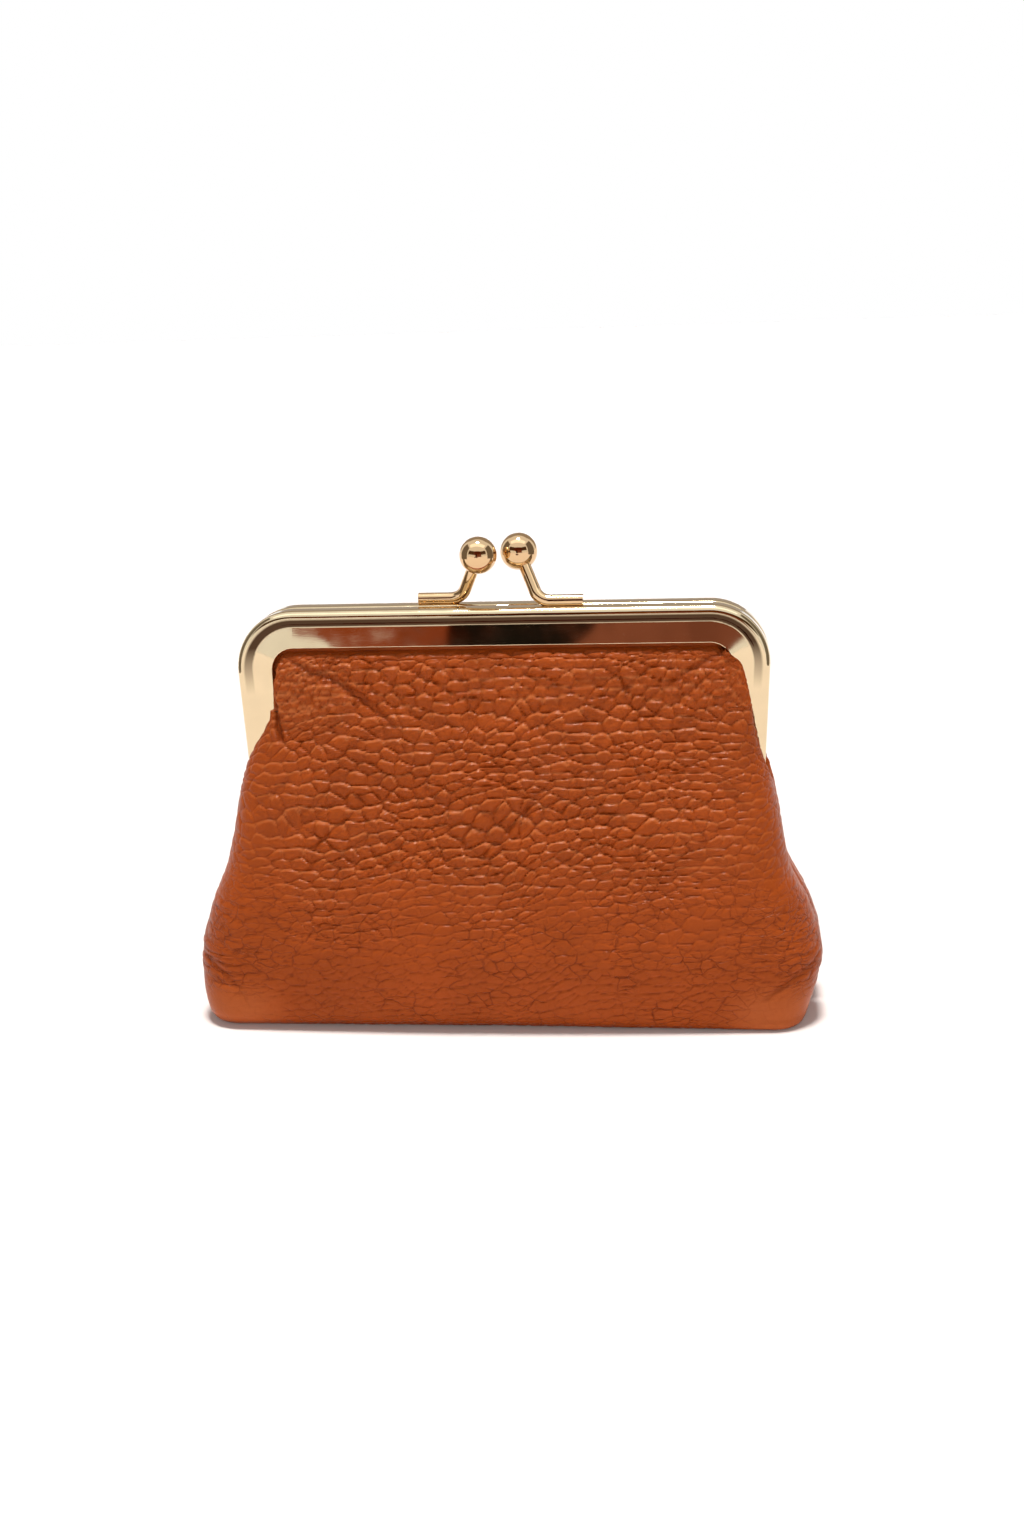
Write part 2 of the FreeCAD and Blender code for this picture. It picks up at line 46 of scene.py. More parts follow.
# Height, half width and half depth of the bag's outside at each level in millimetres, then the shares of the
# depth that round its corners and bow its face
BASE_SEAM = (0.0, 39.0, 0.0, 0.36, 0.02)
BASE = (0.0, 53.6, 13.4, 0.36, 0.02)
HEEL = (2.6, 55.6, 17.0, 0.42, 0.04)
BELLY = (12.0, 57.2, 18.0, 0.55, 0.1)
HIP = (20.0, 55.3, 17.2, 0.6, 0.12)
FLANK = (29.0, 51.5, 15.5, 0.6, 0.12)
WAIST = (47.0, 47.0, 11.3, 0.6, 0.12)
SHOULDER = (57.0, 41.7, 8.3, 0.2, 0.12)
COLLAR = (66.5, 41.7, 5.7, 0.3, 0.12)
THROAT = (67.2, 41.7, 3.25, 0.3, 0.12)
LEVELS = np.array((BASE_SEAM, BASE, HEEL, BELLY, HIP, FLANK, WAIST, SHOULDER, COLLAR, THROAT))

# The mouth that the frame leaves for the leather, and the edge that goes into its channels
HINGE_Z = 47.0
NOTCH_RADIUS = 5.1
OPENING = 40.45
LIP_FRONT = 4.83
LIP_ROOM = 0.35
LEFT_BULGE = 0.85
LEFT_BULGE_TOP = 63.0
RIGHT_BULGE = 4.1
RIGHT_BULGE_TOP = 66.4
RIGHT_SHOULDER = 2.85
SHOULDER_START = 46.5
OPENING_CORNER_X = 37.0
OPENING_CORNER_Z = 64.0
ROLL_RADIUS = 1.5
ROLL_SHARE = 0.6
ROLL_LEAST = 0.3
TUCK_RADIUS = 0.35
TUCK_SHARE = 0.2
TAB_DEPTH = THROAT[2]
TAB_HALF = 45.5
TAB_TOP = 72.5
TAB_CORNER = 8.5
SLIT_LOW = 56.97
SLIT_HIGH = 57.03
BREAK_X = 40.0
BREAK_SHARE = 0.75
BREAK_LIMIT = 0.965
BULGE_TAPER = 0.5
BULGE_POWER = 10
RIGHT_LEAN = 0.009
RIGHT_HOLLOW = 0.012
HOLLOW_HEIGHT = 26.5
HOLLOW_REACH = 5.0
RIGHT_BASE = 0.019
RIGHT_TOE = 0.0022
SEAM_TURN = 0.9
SEAM_REACH = 1.8

# Rows and columns of the leather's outside, in whole coarse steps
STEP = 4
MAIN_COLUMNS = 148
SIDE_COLUMNS = 48
BASE_ROWS = 12
FACE_ROWS = 184
NECK_ROWS = 28
TAB_ROWS = 8
COLUMNS = 2 * (MAIN_COLUMNS + SIDE_COLUMNS)
SLIT_ROW = BASE_ROWS + FACE_ROWS
ROWS = SLIT_ROW + STEP + NECK_ROWS + TAB_ROWS

# Points along the face, the bend, the roll, the fall and the tuck of one level's line
FACE_POINTS = 48
BEND_POINTS = 24
ROLL_POINTS = 12
FALL_POINTS = 10
TUCK_POINTS = 8
BEND_END = FACE_POINTS + BEND_POINTS - 2
ROLL_END = FACE_POINTS + ROLL_POINTS - 1

# Of the frame in metres: the middle of its right corner round, the distances from there over which its bead
# begins, and the heights over which its legs turn into its top bar
CORNER_CENTRE = (0.037, 1.0, 0.064)
BEAD_START = (0.0045, 0.0055)
LEG_END = (0.0595, 0.068)

LINING_OUT = 1.25
LINING_IN = 1.6
FRONT_SEED = 11
BACK_SEED = 47

# The back half is the front one, turned half round
FRONT_WAY, BACK_WAY = (1.0, 1.0, 1.0), (-1.0, -1.0, 1.0)

# Pebbles: how far they stray from their grid, how round their borders are, and how their ends draw together
STRAY_ACROSS = 0.95
STRAY_UP = 0.7
PEBBLE_ROUND = 0.055
PEBBLE_ENDS = 0.08

# How the rows of pebbles close up over the base and climb to the right, in millimetres and shares
CLOSE_REACH = 22.0
CLOSE_ACROSS = 0.2
CLOSE_UP = 0.4
CLIMB = 3.8
CLIMB_REACH = 19.0
CLIMB_END = (30.0, 58.0)

# Slope of the wrinkles that cross the face, and the shift of the ripples at its sides
SLANT_DEG = 36.0
RIPPLE_SHIFT = 27.9

# Where the leather changes, from and to, in millimetres up the bag or out from its middle
PEBBLED_UP = (14.0, 34.0)
FLATTER_OUT = (30.0, 52.0)
TIGHT_OUT = (22.0, 34.0)
TIGHT_UP = (50.0, 60.0)
RIPPLE_OUT = (36.0, 50.0)
RIPPLE_START = (5.0, 9.0)
RIPPLE_END = (21.0, 28.0)
SWELL_START = (2.0, 10.0)
SWELL_END = (56.0, 66.0)
PLEAT_START = (58.0, 64.0)
PLEAT_END = (66.2, 67.4)
CORNER_OUT = (38.0, 47.0)
CORNER_END = (4.0, 11.0)
EDGE_START = (-0.5, 1.5)
TUCK_START = (66.6, 67.4)

# Where a crease comes and goes, in shares of its length
CREASE_START = (-0.05, 0.3)
CREASE_END = (0.7, 1.05)

# Large odd numbers that scatter a place of a grid and a seed over 32 bits
MIX_I, MIX_J, MIX_SEED, MIX_LAST = 374761393, 668265263, 974711, 1274126177
ALL_BITS, LOW_BITS = 0xFFFFFFFF, 0xFFFF


def ease(low, high, values):
    """Smooth step from 0 at low to 1 at high."""
    t = np.clip((values - low) / (high - low), 0.0, 1.0)
    return t * t * (3.0 - 2.0 * t)


def fair_curve(knots, values, at):
    """A smooth curve through the knots that never runs past a level's own value."""
    steps = np.diff(knots)
    slopes = np.diff(values) / steps
    tangent = np.zeros(len(knots))
    tangent[0], tangent[-1] = slopes[0], slopes[-1]
    for k in range(1, len(knots) - 1):
        before, after = slopes[k - 1], slopes[k]
        if before * after > 0.0:
            left, right = 2.0 * steps[k] + steps[k - 1], steps[k] + 2.0 * steps[k - 1]
            tangent[k] = (left + right) / (left / before + right / after)
    i = np.clip(np.searchsorted(knots, at) - 1, 0, len(steps) - 1)
    u = (at - knots[i]) / steps[i]
    rise = values[i + 1] - values[i]
    turn = steps[i] * ((1.0 - u) * tangent[i] - u * tangent[i + 1])
    return values[i] + rise * ease(0.0, 1.0, u) + u * (1.0 - u) * turn


def hashed(i, j, seed):
    """A number from 0 to 1 that belongs to one place of a grid."""
    n = (i * MIX_I + j * MIX_J + seed * MIX_SEED) & ALL_BITS
    n = ((n ^ (n >> 13)) * MIX_LAST) & ALL_BITS
    return ((n ^ (n >> 16)) & LOW_BITS) / LOW_BITS


def soft_noise(u, v, seed):
    """Smooth noise from 0 to 1 with one swell to each unit."""
    i, j = np.floor(u).astype(np.int64), np.floor(v).astype(np.int64)
    fu, fv = ease(0.0, 1.0, u - i), ease(0.0, 1.0, v - j)
    low = hashed(i, j, seed) * (1.0 - fu) + hashed(i + 1, j, seed) * fu
    high = hashed(i, j + 1, seed) * (1.0 - fu) + hashed(i + 1, j + 1, seed) * fu
    return low * (1.0 - fv) + high * fv


def pebbles(u, v, seed):
    """How far each point is from its pebble's border, the pebble's own number, and the point's height in it."""
    i, j = np.floor(u).astype(np.int64), np.floor(v).astype(np.int64)
    around = [(a, b) for a in range(-2, 3) for b in range(-2, 3)]

    def centre(a, b):
        cu = i + a + 0.5 + STRAY_ACROSS * (hashed(i + a, j + b, seed) - 0.5) - u
        cv = j + b + 0.5 + STRAY_UP * (hashed(i + a, j + b, seed + 1) - 0.5) - v
        return cu, cv

    nearest = np.full(u.shape, np.inf)
    mine_u, mine_v, own = np.zeros(u.shape), np.zeros(u.shape), np.zeros(u.shape)
    for a, b in around:
        cu, cv = centre(a, b)
        far = cu * cu + cv * cv
        closer = far < nearest
        nearest = np.where(closer, far, nearest)
        mine_u, mine_v = np.where(closer, cu, mine_u), np.where(closer, cv, mine_v)
        own = np.where(closer, hashed(i + a, j + b, seed + 2), own)
    crowd = np.zeros(u.shape)
    for a, b in around:
        cu, cv = centre(a, b)
        du, dv = cu - mine_u, cv - mine_v
        apart = np.hypot(du, dv)
        gap = ((cu + mine_u) * du + (cv + mine_v) * dv) / (2.0 * np.maximum(apart, 1e-6))
        ends = PEBBLE_ENDS * (1.0 - np.abs(dv) / np.maximum(apart, 1e-6)) ** 2
        crowd = crowd + np.where(apart > 1e-4, np.exp(-(gap + ends) / PEBBLE_ROUND), 0.0)
    border = 0.6 * PEBBLE_ROUND - PEBBLE_ROUND * np.log(crowd)
    return border, own, np.clip(-2.0 * mine_v, -1.0, 1.0)


def run_length(points):
    """Distance along a line of points, from its first."""
    return np.concatenate(([0.0], np.cumsum(np.hypot(*np.diff(points, axis=0).T))))


def body_outline(half_width, half_depth, corner_share, bow_share):
    """One quarter of the bag's section, from the middle of its face to the seam at its side."""
    corner = corner_share * half_depth
    bow = bow_share * half_depth
    lean = math.atan2(2.0 * bow, half_width - corner)
    flat = half_width - corner * (1.0 - math.sin(lean))
    x = np.linspace(0.0, flat, FACE_POINTS)
    face = np.stack((x, half_depth - bow * (x / flat) ** 2), 1)
    turn = np.linspace(lean, math.pi / 2.0, BEND_POINTS)[1:]
    mid_x = flat - corner * math.sin(lean)
    mid_q = half_depth - bow - corner * math.cos(lean)
    bend = np.stack((mid_x + corner * np.sin(turn), mid_q + corner * np.cos(turn)), 1)
    side_q = np.linspace(mid_q, 0.0, BEND_POINTS)[1:]
    turned = SEAM_TURN * np.clip(1.0 - side_q / SEAM_REACH, 0.0, 1.0) ** 2
    turned = turned * min(1.0, half_depth / BASE[2])
    side = np.stack((half_width - turned, side_q), 1)
    return np.concatenate((face, bend, side))


def neck_outline(z, half_depth, bow_share, bulge):
    """One half of the leather's line inside the frame: face, roll over the lip, and tucked edge."""
    rise = np.clip(z - OPENING_CORNER_Z, 0.0, OPENING - OPENING_CORNER_X)
    inner = OPENING_CORNER_X + math.sqrt((OPENING - OPENING_CORNER_X) ** 2 - rise ** 2)
    reach = inner + bulge
    bow = bow_share * half_depth * (half_depth - TAB_DEPTH) / (SHOULDER[2] - TAB_DEPTH)
    top = half_depth - bow
    lift = max(top - TAB_DEPTH, 0.0)
    roll = min(ROLL_RADIUS, ROLL_SHARE * lift)
    if bulge > 0.0:
        roll = min(roll, max(ROLL_LEAST, top - LIP_FRONT - LIP_ROOM))
    tuck = min(TUCK_RADIUS, TUCK_SHARE * lift)
    x = np.linspace(0.0, reach - roll, FACE_POINTS)
    face = np.stack((x, half_depth - bow * (x / (reach - roll)) ** 2), 1)
    turn = np.linspace(0.0, math.pi / 2.0, ROLL_POINTS)[1:]
    bend = np.stack((reach - roll + roll * np.sin(turn), top - roll + roll * np.cos(turn)), 1)
    low = max(TAB_DEPTH + tuck, min(top - roll, LIP_FRONT + LIP_ROOM))
    fall = np.linspace(0.0, 1.0, FALL_POINTS)[1:]
    swing = 0.5 + 0.5 * np.cos(math.pi * fall)
    waist = np.stack((inner + (reach - inner) * swing, top - roll + (low - top + roll) * fall), 1)
    back = np.linspace(math.pi / 2.0, 0.0, TUCK_POINTS)
    hollow = np.stack((inner + tuck - tuck * np.sin(back), TAB_DEPTH + tuck - tuck * np.cos(back)), 1)
    over = np.clip(z - (TAB_TOP - TAB_CORNER), 0.0, TAB_CORNER)
    end = TAB_HALF - TAB_CORNER + math.sqrt(TAB_CORNER ** 2 - over ** 2)
    edge = np.array(((max(end, inner + 2.0 * tuck + 0.2), TAB_DEPTH),))
    return np.concatenate((face, bend, waist, hollow, edge))


def notch_edge(z):
    """How far in front of the seam plane the leather stops, so that the hinge and the leg are free."""
    if z <= HINGE_Z - NOTCH_RADIUS:
        return 0.0
    return math.sqrt(NOTCH_RADIUS ** 2 - min(0.0, z - HINGE_Z) ** 2)


def spread(line, lengths, stop, finish):
    """Points along a line: the face's columns up to stop, and the side's from there to finish."""
    main = np.linspace(0.0, stop, MAIN_COLUMNS + 1)
    side = np.linspace(stop, finish, SIDE_COLUMNS + 1)[1:]
    at = np.concatenate((main, side))
    return np.stack((np.interp(at, lengths, line[:, 0]), np.interp(at, lengths, line[:, 1])), 1)


def row_levels():
    """Height, half width and half depth of every row, from the seam under the base to the top edge."""
    rise = np.hypot(np.diff(LEVELS[:, 0]), np.diff(LEVELS[:, 2]))
    knots = np.concatenate(([0.0], np.cumsum(rise)))
    fine = np.linspace(0.0, knots[-1], 4000)
    height = fair_curve(knots, LEVELS[:, 0], fine)
    rising = fine > knots[1]
    low, high = (np.interp(z, height[rising], fine[rising]) for z in (SLIT_LOW, SLIT_HIGH))
    at = np.concatenate((
        np.linspace(0.0, knots[1], BASE_ROWS + 1),
        np.linspace(knots[1], low, FACE_ROWS + 1)[1:],
        np.linspace(low, high, STEP + 1)[1:],
        np.linspace(high, knots[-1], NECK_ROWS + 1)[1:],
    ))
    rows = [fair_curve(knots, LEVELS[:, k], at) for k in range(LEVELS.shape[1])]
    tab = np.linspace(THROAT[0], TAB_TOP, TAB_ROWS + 1)[1:]
    held = [np.full(TAB_ROWS, value) for value in THROAT[1:]]
    rows = [np.concatenate(pair) for pair in zip(rows, [tab] + held)]
    return np.stack(rows, 1)


def bag_form(over_legs):
    """The smooth outside of the front half, as rows of points from the base's seam to the top edge."""
    points = np.zeros((ROWS + 1, COLUMNS + 1, 3))
    middle = COLUMNS // 2
    sides = ((LEFT_BULGE, LEFT_BULGE_TOP, 0.0), (RIGHT_BULGE, RIGHT_BULGE_TOP, RIGHT_SHOULDER))
    for r, (z, half_width, half_depth, corner_share, bow_share) in enumerate(row_levels()):
        halves = []
        for bulge, bulge_top, shoulder in sides:
            if r <= SLIT_ROW + STEP // 2:
                wide = half_width + shoulder * ease(SHOULDER_START, SHOULDER[0], z)
                line = body_outline(wide, half_depth, corner_share, bow_share)
                lengths = run_length(line)
                stop_x = min(BREAK_X + BREAK_SHARE * (half_width - SHOULDER[1]), BREAK_LIMIT * half_width)
                stop = np.interp(stop_x, line[:BEND_END, 0], lengths[:BEND_END])
                edge = notch_edge(z)
                finish = np.interp(edge, line[::-1, 1], lengths[::-1]) if edge > 0.0 else lengths[-1]
            else:
                up = min(1.0, (z - SLIT_HIGH) / (bulge_top - SLIT_HIGH))
                over = over_legs * bulge * (1.0 - BULGE_TAPER * up) * (1.0 - up ** BULGE_POWER)
                line = neck_outline(z, half_depth, bow_share, over)
                lengths = run_length(line)
                face_x = line[:ROLL_END, 0]
                stop = np.interp(min(BREAK_X, face_x.max() - 0.1), face_x, lengths[:ROLL_END])
                finish = lengths[-1]
            halves.append(spread(line, lengths, stop, max(finish, stop + 1.0)))
        left, right = halves
        points[r, middle:, :2] = right * (1.0, -1.0)
        points[r, :middle + 1, :2] = -left[::-1]
        points[r, :, 2] = z
    return points


def slumped(points):
    """The form with its right side a little narrower low down and hollowed at the flank."""
    z = points[:, :, 2]
    lean = RIGHT_LEAN * (1.0 - ease(HIP[0], WAIST[0], z)) + RIGHT_BASE * (1.0 - ease(HEEL[0], BELLY[0], z))
    lean = lean + RIGHT_HOLLOW * np.exp(-((z - HOLLOW_HEIGHT) / HOLLOW_REACH) ** 2)
    moved = points.copy()
    right = np.maximum(points[:, :, 0], 0.0)
    moved[:, :, 0] = points[:, :, 0] - right * lean
    moved[:, :, 1] = points[:, :, 1] * (1.0 + RIGHT_TOE * right * (1.0 - ease(BASE[0], HEEL[0], z)))
    return moved


def facing(points):
    """Outward directions of the form, worked out on each side of the slits by themselves."""
    result = np.zeros_like(points)
    inside = slice(SIDE_COLUMNS, COLUMNS + 1 - SIDE_COLUMNS)
    blocks = (
        (slice(SLIT_ROW, SLIT_ROW + STEP + 1), inside),
        (slice(0, SLIT_ROW + 1), slice(0, COLUMNS + 1)),
        (slice(SLIT_ROW + STEP, ROWS + 1), slice(0, COLUMNS + 1)),
        (slice(0, ROWS + 1), inside),
    )
    for rows, columns in blocks:
        part = points[rows, columns]
        result[rows, columns] = np.cross(np.gradient(part, axis=1), np.gradient(part, axis=0))
    for edge in (0, -1):
        seam = points[:, edge, 2] <= HINGE_Z - NOTCH_RADIUS
        result[seam, edge, 1] = 0.0
    length = np.linalg.norm(result, axis=2, keepdims=True)
    return result / np.maximum(length, 1e-9)


def flat_cut(points):
    """Where each point lies on the flat cut: across from the middle, and up from the base's edge."""
    middle = COLUMNS // 2
    across = np.linalg.norm(np.diff(points, axis=1), axis=2)
    s = np.concatenate((np.zeros((len(points), 1)), np.cumsum(across, axis=1)), 1)
    s = s - s[:, middle:middle + 1]
    up = np.linalg.norm(np.diff(points, axis=0), axis=2)
    t = np.concatenate((np.zeros((1, points.shape[1])), np.cumsum(up, axis=0)), 0)
    return s, t - t[BASE_ROWS:BASE_ROWS + 1]


def along_crease(points, start, end, width, bend=0.0):
    """1 on a crease drawn from start to end on the face, falling to 0 beside it and at its ends."""
    a, b = np.array(start), np.array(end)
    run = b - a
    length = np.hypot(*run)
    x, z = points[:, :, 0] - a[0], points[:, :, 2] - a[1]
    along = (x * run[0] + z * run[1]) / length ** 2
    beside = (x * run[1] - z * run[0]) / length - bend * 4.0 * along * (1.0 - along)
    ends = ease(*CREASE_START, along) * (1.0 - ease(*CREASE_END, along))
    return np.exp(-(beside / width) ** 2) * ends


# Start and end on the face in millimetres, width, bend and depth of the creases that the fold lines leave
CREASES = (
    ((46.0, 5.0), (57.0, 11.5), 0.7, -1.0, 0.35),
    ((-47.0, 6.5), (-57.5, 13.5), 0.7, 1.0, 0.35),
    ((31.0, 62.6), (40.0, 67.4), 0.6, 0.4, 0.45),
    ((-38.6, 67.0), (-30.0, 62.8), 0.6, 0.4, 0.45),
    ((-34.0, 65.0), (-16.5, 52.4), 0.5, -0.8, 0.6),
    ((-30.8, 64.6), (-22.5, 58.2), 0.45, 0.2, 0.4),
    ((-40.8, 59.5), (-38.9, 51.0), 0.45, 0.3, 1.2),
    ((-6.0, 29.5), (9.0, 45.5), 0.45, 0.6, 0.24),
    ((37.0, 46.0), (44.0, 37.0), 0.8, -0.6, 0.25),
    ((-46.0, 40.0), (-36.0, 47.0), 0.7, 0.5, 0.25),
)


def wandering(u, v, slope_deg, long, wide, seed):
    """1 on lines that wander along a slope, falling to 0 between them."""
    run, climb = math.cos(math.radians(slope_deg)), math.sin(math.radians(slope_deg))
    swell = soft_noise((u * run + v * climb) / long, (v * run - u * climb) / wide, seed)
    return 1.0 - np.abs(2.0 * swell - 1.0)


def sway(s, t, size, long, wide, seed):
    """A smooth drift to either side, size from end to end."""
    return size * (soft_noise(s / long, t / wide, seed) - 0.5)


def domes(border, edge):
    """Rounded tops that fall to nothing at the borders."""
    return 1.0 - (1.0 - np.clip(border / edge, 0.0, 1.0)) ** 2


def laid_out(s, t, z, seed):
    """Where each point lies on the pattern of pebbles, which sways, closes up low down and climbs."""
    close = np.exp(-np.maximum(t, 0.0) / CLOSE_REACH)
    climb = CLIMB * np.tanh(s / CLIMB_REACH) * (1.0 - ease(*CLIMB_END, z))
    u = s * (1.0 + CLOSE_ACROSS * close) + sway(s, t, 2.4, 10.0, 8.0, seed + 5)
    v = t + CLOSE_UP * CLOSE_REACH * (1.0 - close) + (sway(s, t, 3.4, 15.0, 9.0, seed + 6) - climb)
    return u + sway(s, t, 0.5, 2.6, 1.9, seed + 7), v + sway(s, t, 0.5, 2.6, 1.9, seed + 8)


def grain_height(points, s, t, seed, look):
    """How far the leather lies under the smooth form in millimetres, and the marks that its finish needs."""
    wide, tall, relief = look.grain_width / MM, look.grain_height / MM, look.grain_relief / MM
    x, z = points[:, :, 0], points[:, :, 2]
    u, v = laid_out(s, t, z, seed)

    # Large pebbles, and the fine ones that show where the leather is tight under the frame's corners
    border, own, height = pebbles(u / wide, v / tall, seed)
    fine_border, fine_own, fine_height = pebbles(u / (0.5 * wide), v / (0.6 * tall), seed + 20)
    large = domes(border, 0.34) * (0.8 + 0.25 * own) + 0.15 * height * domes(border, 0.2)
    fine = domes(fine_border, 0.35) * (0.8 + 0.3 * fine_own)
    upper = ease(*PEBBLED_UP, z + sway(s, t, 7.0, 11.0, 9.0, seed + 9))
    side = ease(*FLATTER_OUT, np.abs(s))
    tight = (ease(*TIGHT_OUT, -s) + 0.3 * ease(*TIGHT_OUT, s)) * ease(*TIGHT_UP, z)
    patch = 0.75 + 0.5 * soft_noise(s / 7.5, t / 5.5, seed + 10)
    body = relief * (0.32 + 0.68 * upper) * (1.0 - 0.72 * side) * patch

    # Level streaks, and slanting wrinkles to both sides
    streak = wandering(u, v, 0.0, 9.0, 2.6, seed + 30) ** 4
    climbing = wandering(s, t, SLANT_DEG, 12.0, 3.4, seed + 31)
    falling = wandering(s, t, -SLANT_DEG, 12.0, 3.4, seed + 32)
    slant = np.maximum(climbing, falling) ** 5 * upper * (1.0 - 0.7 * side)
    tops = (1.0 - 0.4 * tight) * large + (0.16 + 0.6 * tight) * fine
    dips = body * (1.2 - tops + 0.25 * streak + 0.5 * slant)

    # Ripples where the sides bulge low down, and the creases
    rippled = ease(*RIPPLE_OUT, np.abs(s)) * (1.0 - ease(*RIPPLE_END, z)) * ease(*RIPPLE_START, z)
    fold = 0.22 * rippled * wandering(s + RIPPLE_SHIFT, v, 0.0, 9.0, 1.6, seed + 12) ** 4
    for start, end, width, bend, deep in CREASES:
        fold = fold + deep * along_crease(points, start, end, width, bend)

    # Broad swells on the face, and pleats under the top bar
    swell = np.maximum(0.5 * (soft_noise(s / 17.0, t / 14.0, seed + 14) - 0.35), 0.0)
    swell = swell * ease(*SWELL_START, z) * (1.0 - ease(*SWELL_END, z))
    drift = 0.5 * soft_noise(s / 6.0, t / 4.0, seed + 15)
    pleat = 0.45 * soft_noise(s / 3.4 + drift, t / 14.0, seed + 16)
    pleat = pleat * ease(*PLEAT_START, z) * (1.0 - ease(*PLEAT_END, z))

    smooth_corner = (1.0 - ease(*CORNER_END, z)) * ease(*CORNER_OUT, np.abs(x))
    plain = 1.0 - 0.8 * smooth_corner
    shown = ease(*EDGE_START, t) * (1.0 - ease(*TUCK_START, z))
    depth = (dips * plain + fold) * shown + swell + pleat
    # Painted highlight: the upper rims of the pebbles, where the top light catches them, are marked to be made
    # paler in colour
    rims = np.clip(2.2 * height - 0.4, 0.0, 1.0) * np.exp(-((border - 0.13) / 0.11) ** 2)
    fine_rims = np.clip(1.3 * fine_height * domes(fine_border, 0.25), 0.0, 1.0)
    # Painted shade: the narrow borders between pebbles, the slanting wrinkles and the creases are marked to be
    # darkened in colour
    between = (1.0 - 0.45 * upper) * np.exp(-(border / 0.07) ** 2) * plain
    painted_rim_highlight = rims * (1.0 - 0.6 * side) + tight * fine_rims
    marks = {
        "groove": np.clip((between + 0.4 * slant) * shown + fold, 0.0, 1.0),
        "painted_rim_highlight": np.clip(painted_rim_highlight, 0.0, 1.0) * upper * shown,
        "cracked": (1.0 - 0.85 * upper) * (1.0 - 0.75 * smooth_corner) * shown,
        "wrinkled": rippled * shown,
        "stretched": smooth_corner,
    }
    return depth, marks


def placed(name, data):
    """A new object in the scene."""
    obj = bpy.data.objects.new(name, data)
    bpy.context.scene.collection.objects.link(obj)
    return obj


def sheet_mesh(name, outside, inside, way, step, layers, material):
    """A closed sheet from an outside and a coarser inside, cut along the slits beside the legs."""
    outside, inside = (slumped(points * np.array(way)) for points in (outside, inside))
    rows, columns = outside.shape[0] - 1, outside.shape[1] - 1
    slit = SLIT_ROW * step // STEP
    wing = SIDE_COLUMNS * step // STEP
    count = outside.shape[0] * outside.shape[1]

    def out_index(r, c):
        return r * (columns + 1) + c

    def in_index(r, c):
        return count + (r // step) * (columns // step + 1) + c // step

    faces = []
    for index, pace in ((out_index, 1), (in_index, step)):
        for r in range(0, rows, pace):
            cut = slit <= r < slit + step
            for c in range(wing if cut else 0, columns - wing if cut else columns, pace):
                ring = index(r, c), index(r, c + pace), index(r + pace, c + pace), index(r + pace, c)
                faces.append(ring if index is out_index else (ring[0], *ring[:0:-1]))
    smooth = len(faces)
    stops = (
        (0, 0), (0, columns), (slit, columns), (slit, columns - wing), (slit + step, columns - wing),
        (slit + step, columns), (rows, columns), (rows, 0), (slit + step, 0), (slit + step, wing),
        (slit, wing), (slit, 0), (0, 0),
    )
    for (r0, c0), (r1, c1) in zip(stops, stops[1:]):
        dr, dc = (r1 > r0) - (r1 < r0), (c1 > c0) - (c1 < c0)
        for k in range(0, abs(r1 - r0) + abs(c1 - c0), step):
            edge = [(r0 + dr * (k + m), c0 + dc * (k + m)) for m in range(step + 1)]
            ring = [out_index(*place) for place in reversed(edge)]
            faces.append(tuple(ring + [in_index(*edge[0]), in_index(*edge[-1])]))
    mesh = bpy.data.meshes.new(name)
    vertices = np.concatenate((outside.reshape(-1, 3), inside.reshape(-1, 3))) * MM
    mesh.from_pydata(vertices.tolist(), [], faces)
    flat = np.zeros(len(faces), bool)
    flat[smooth:] = True
    mesh.attributes.new("sharp_face", "BOOLEAN", "FACE").data.foreach_set("value", flat)
    for label, values in layers.items():
        whole = np.concatenate((values.reshape(-1), values[::step, ::step].reshape(-1))).astype(np.float32)
        kind, field = ("FLOAT_VECTOR", "vector") if values.ndim == 3 else ("FLOAT", "value")
        mesh.attributes.new(label, kind, "POINT").data.foreach_set(field, whole)
    mesh.validate()
    mesh.update()
    mesh.materials.append(material)
    return placed(name, mesh)


def fresh_material(name):
    """A new material, its tree and its main shader."""
    material = bpy.data.materials.new(name)
    material.use_nodes = True
    return material, material.node_tree, material.node_tree.nodes["Principled BSDF"]


def node(tree, kind, links=(), **values):
    """A shader node with its settings, socket values and incoming links."""
    made = tree.nodes.new("ShaderNode" + kind)
    for key, value in values.items():
        if hasattr(made, key):
            setattr(made, key, value)
        else:
            made.inputs[key.replace("_", " ")].default_value = value
    for socket, source in links:
        tree.links.new(source, made.inputs[socket])
    return made


def feed(tree, socket, source):
    """Links a socket to its source; a tuple or a number is a plain value."""
    if isinstance(source, (tuple, float)):
        socket.default_value = source
    else:
        tree.links.new(source, socket)


def vectors(tree, operation, *sources):
    """One step of work on vectors."""
    made = node(tree, "VectorMath", operation=operation)
    for socket, source in zip(made.inputs, sources):
        feed(tree, socket, source)
    return made.outputs["Value" if operation in ("DOT_PRODUCT", "LENGTH") else "Vector"]


def numbers(tree, operation, *sources):
    """Several values put together by one operation."""
    result = sources[0]
    for source in sources[1:]:
        result = node(tree, "Math", ((0, result), (1, source)), operation=operation).outputs[0]
    return result


def on_object(tree):
    """The place on the object in metres."""
    return node(tree, "TexCoord").outputs["Object"]


def noise(tree, place, scale, detail):
    """Soft noise from 0 to 1, mostly about a half."""
    return node(tree, "TexNoise", (("Vector", place),), Scale=scale, Detail=detail).outputs["Fac"]


def bumped(tree, height, strength, distance, under=None, invert=False):
    """The surface's direction, tilted by a height that lies on what is under it."""
    made = node(tree, "Bump", (("Height", height),), invert=invert, Strength=strength, Distance=distance)
    if under is not None:
        tree.links.new(under, made.inputs["Normal"])
    return made.outputs["Normal"]


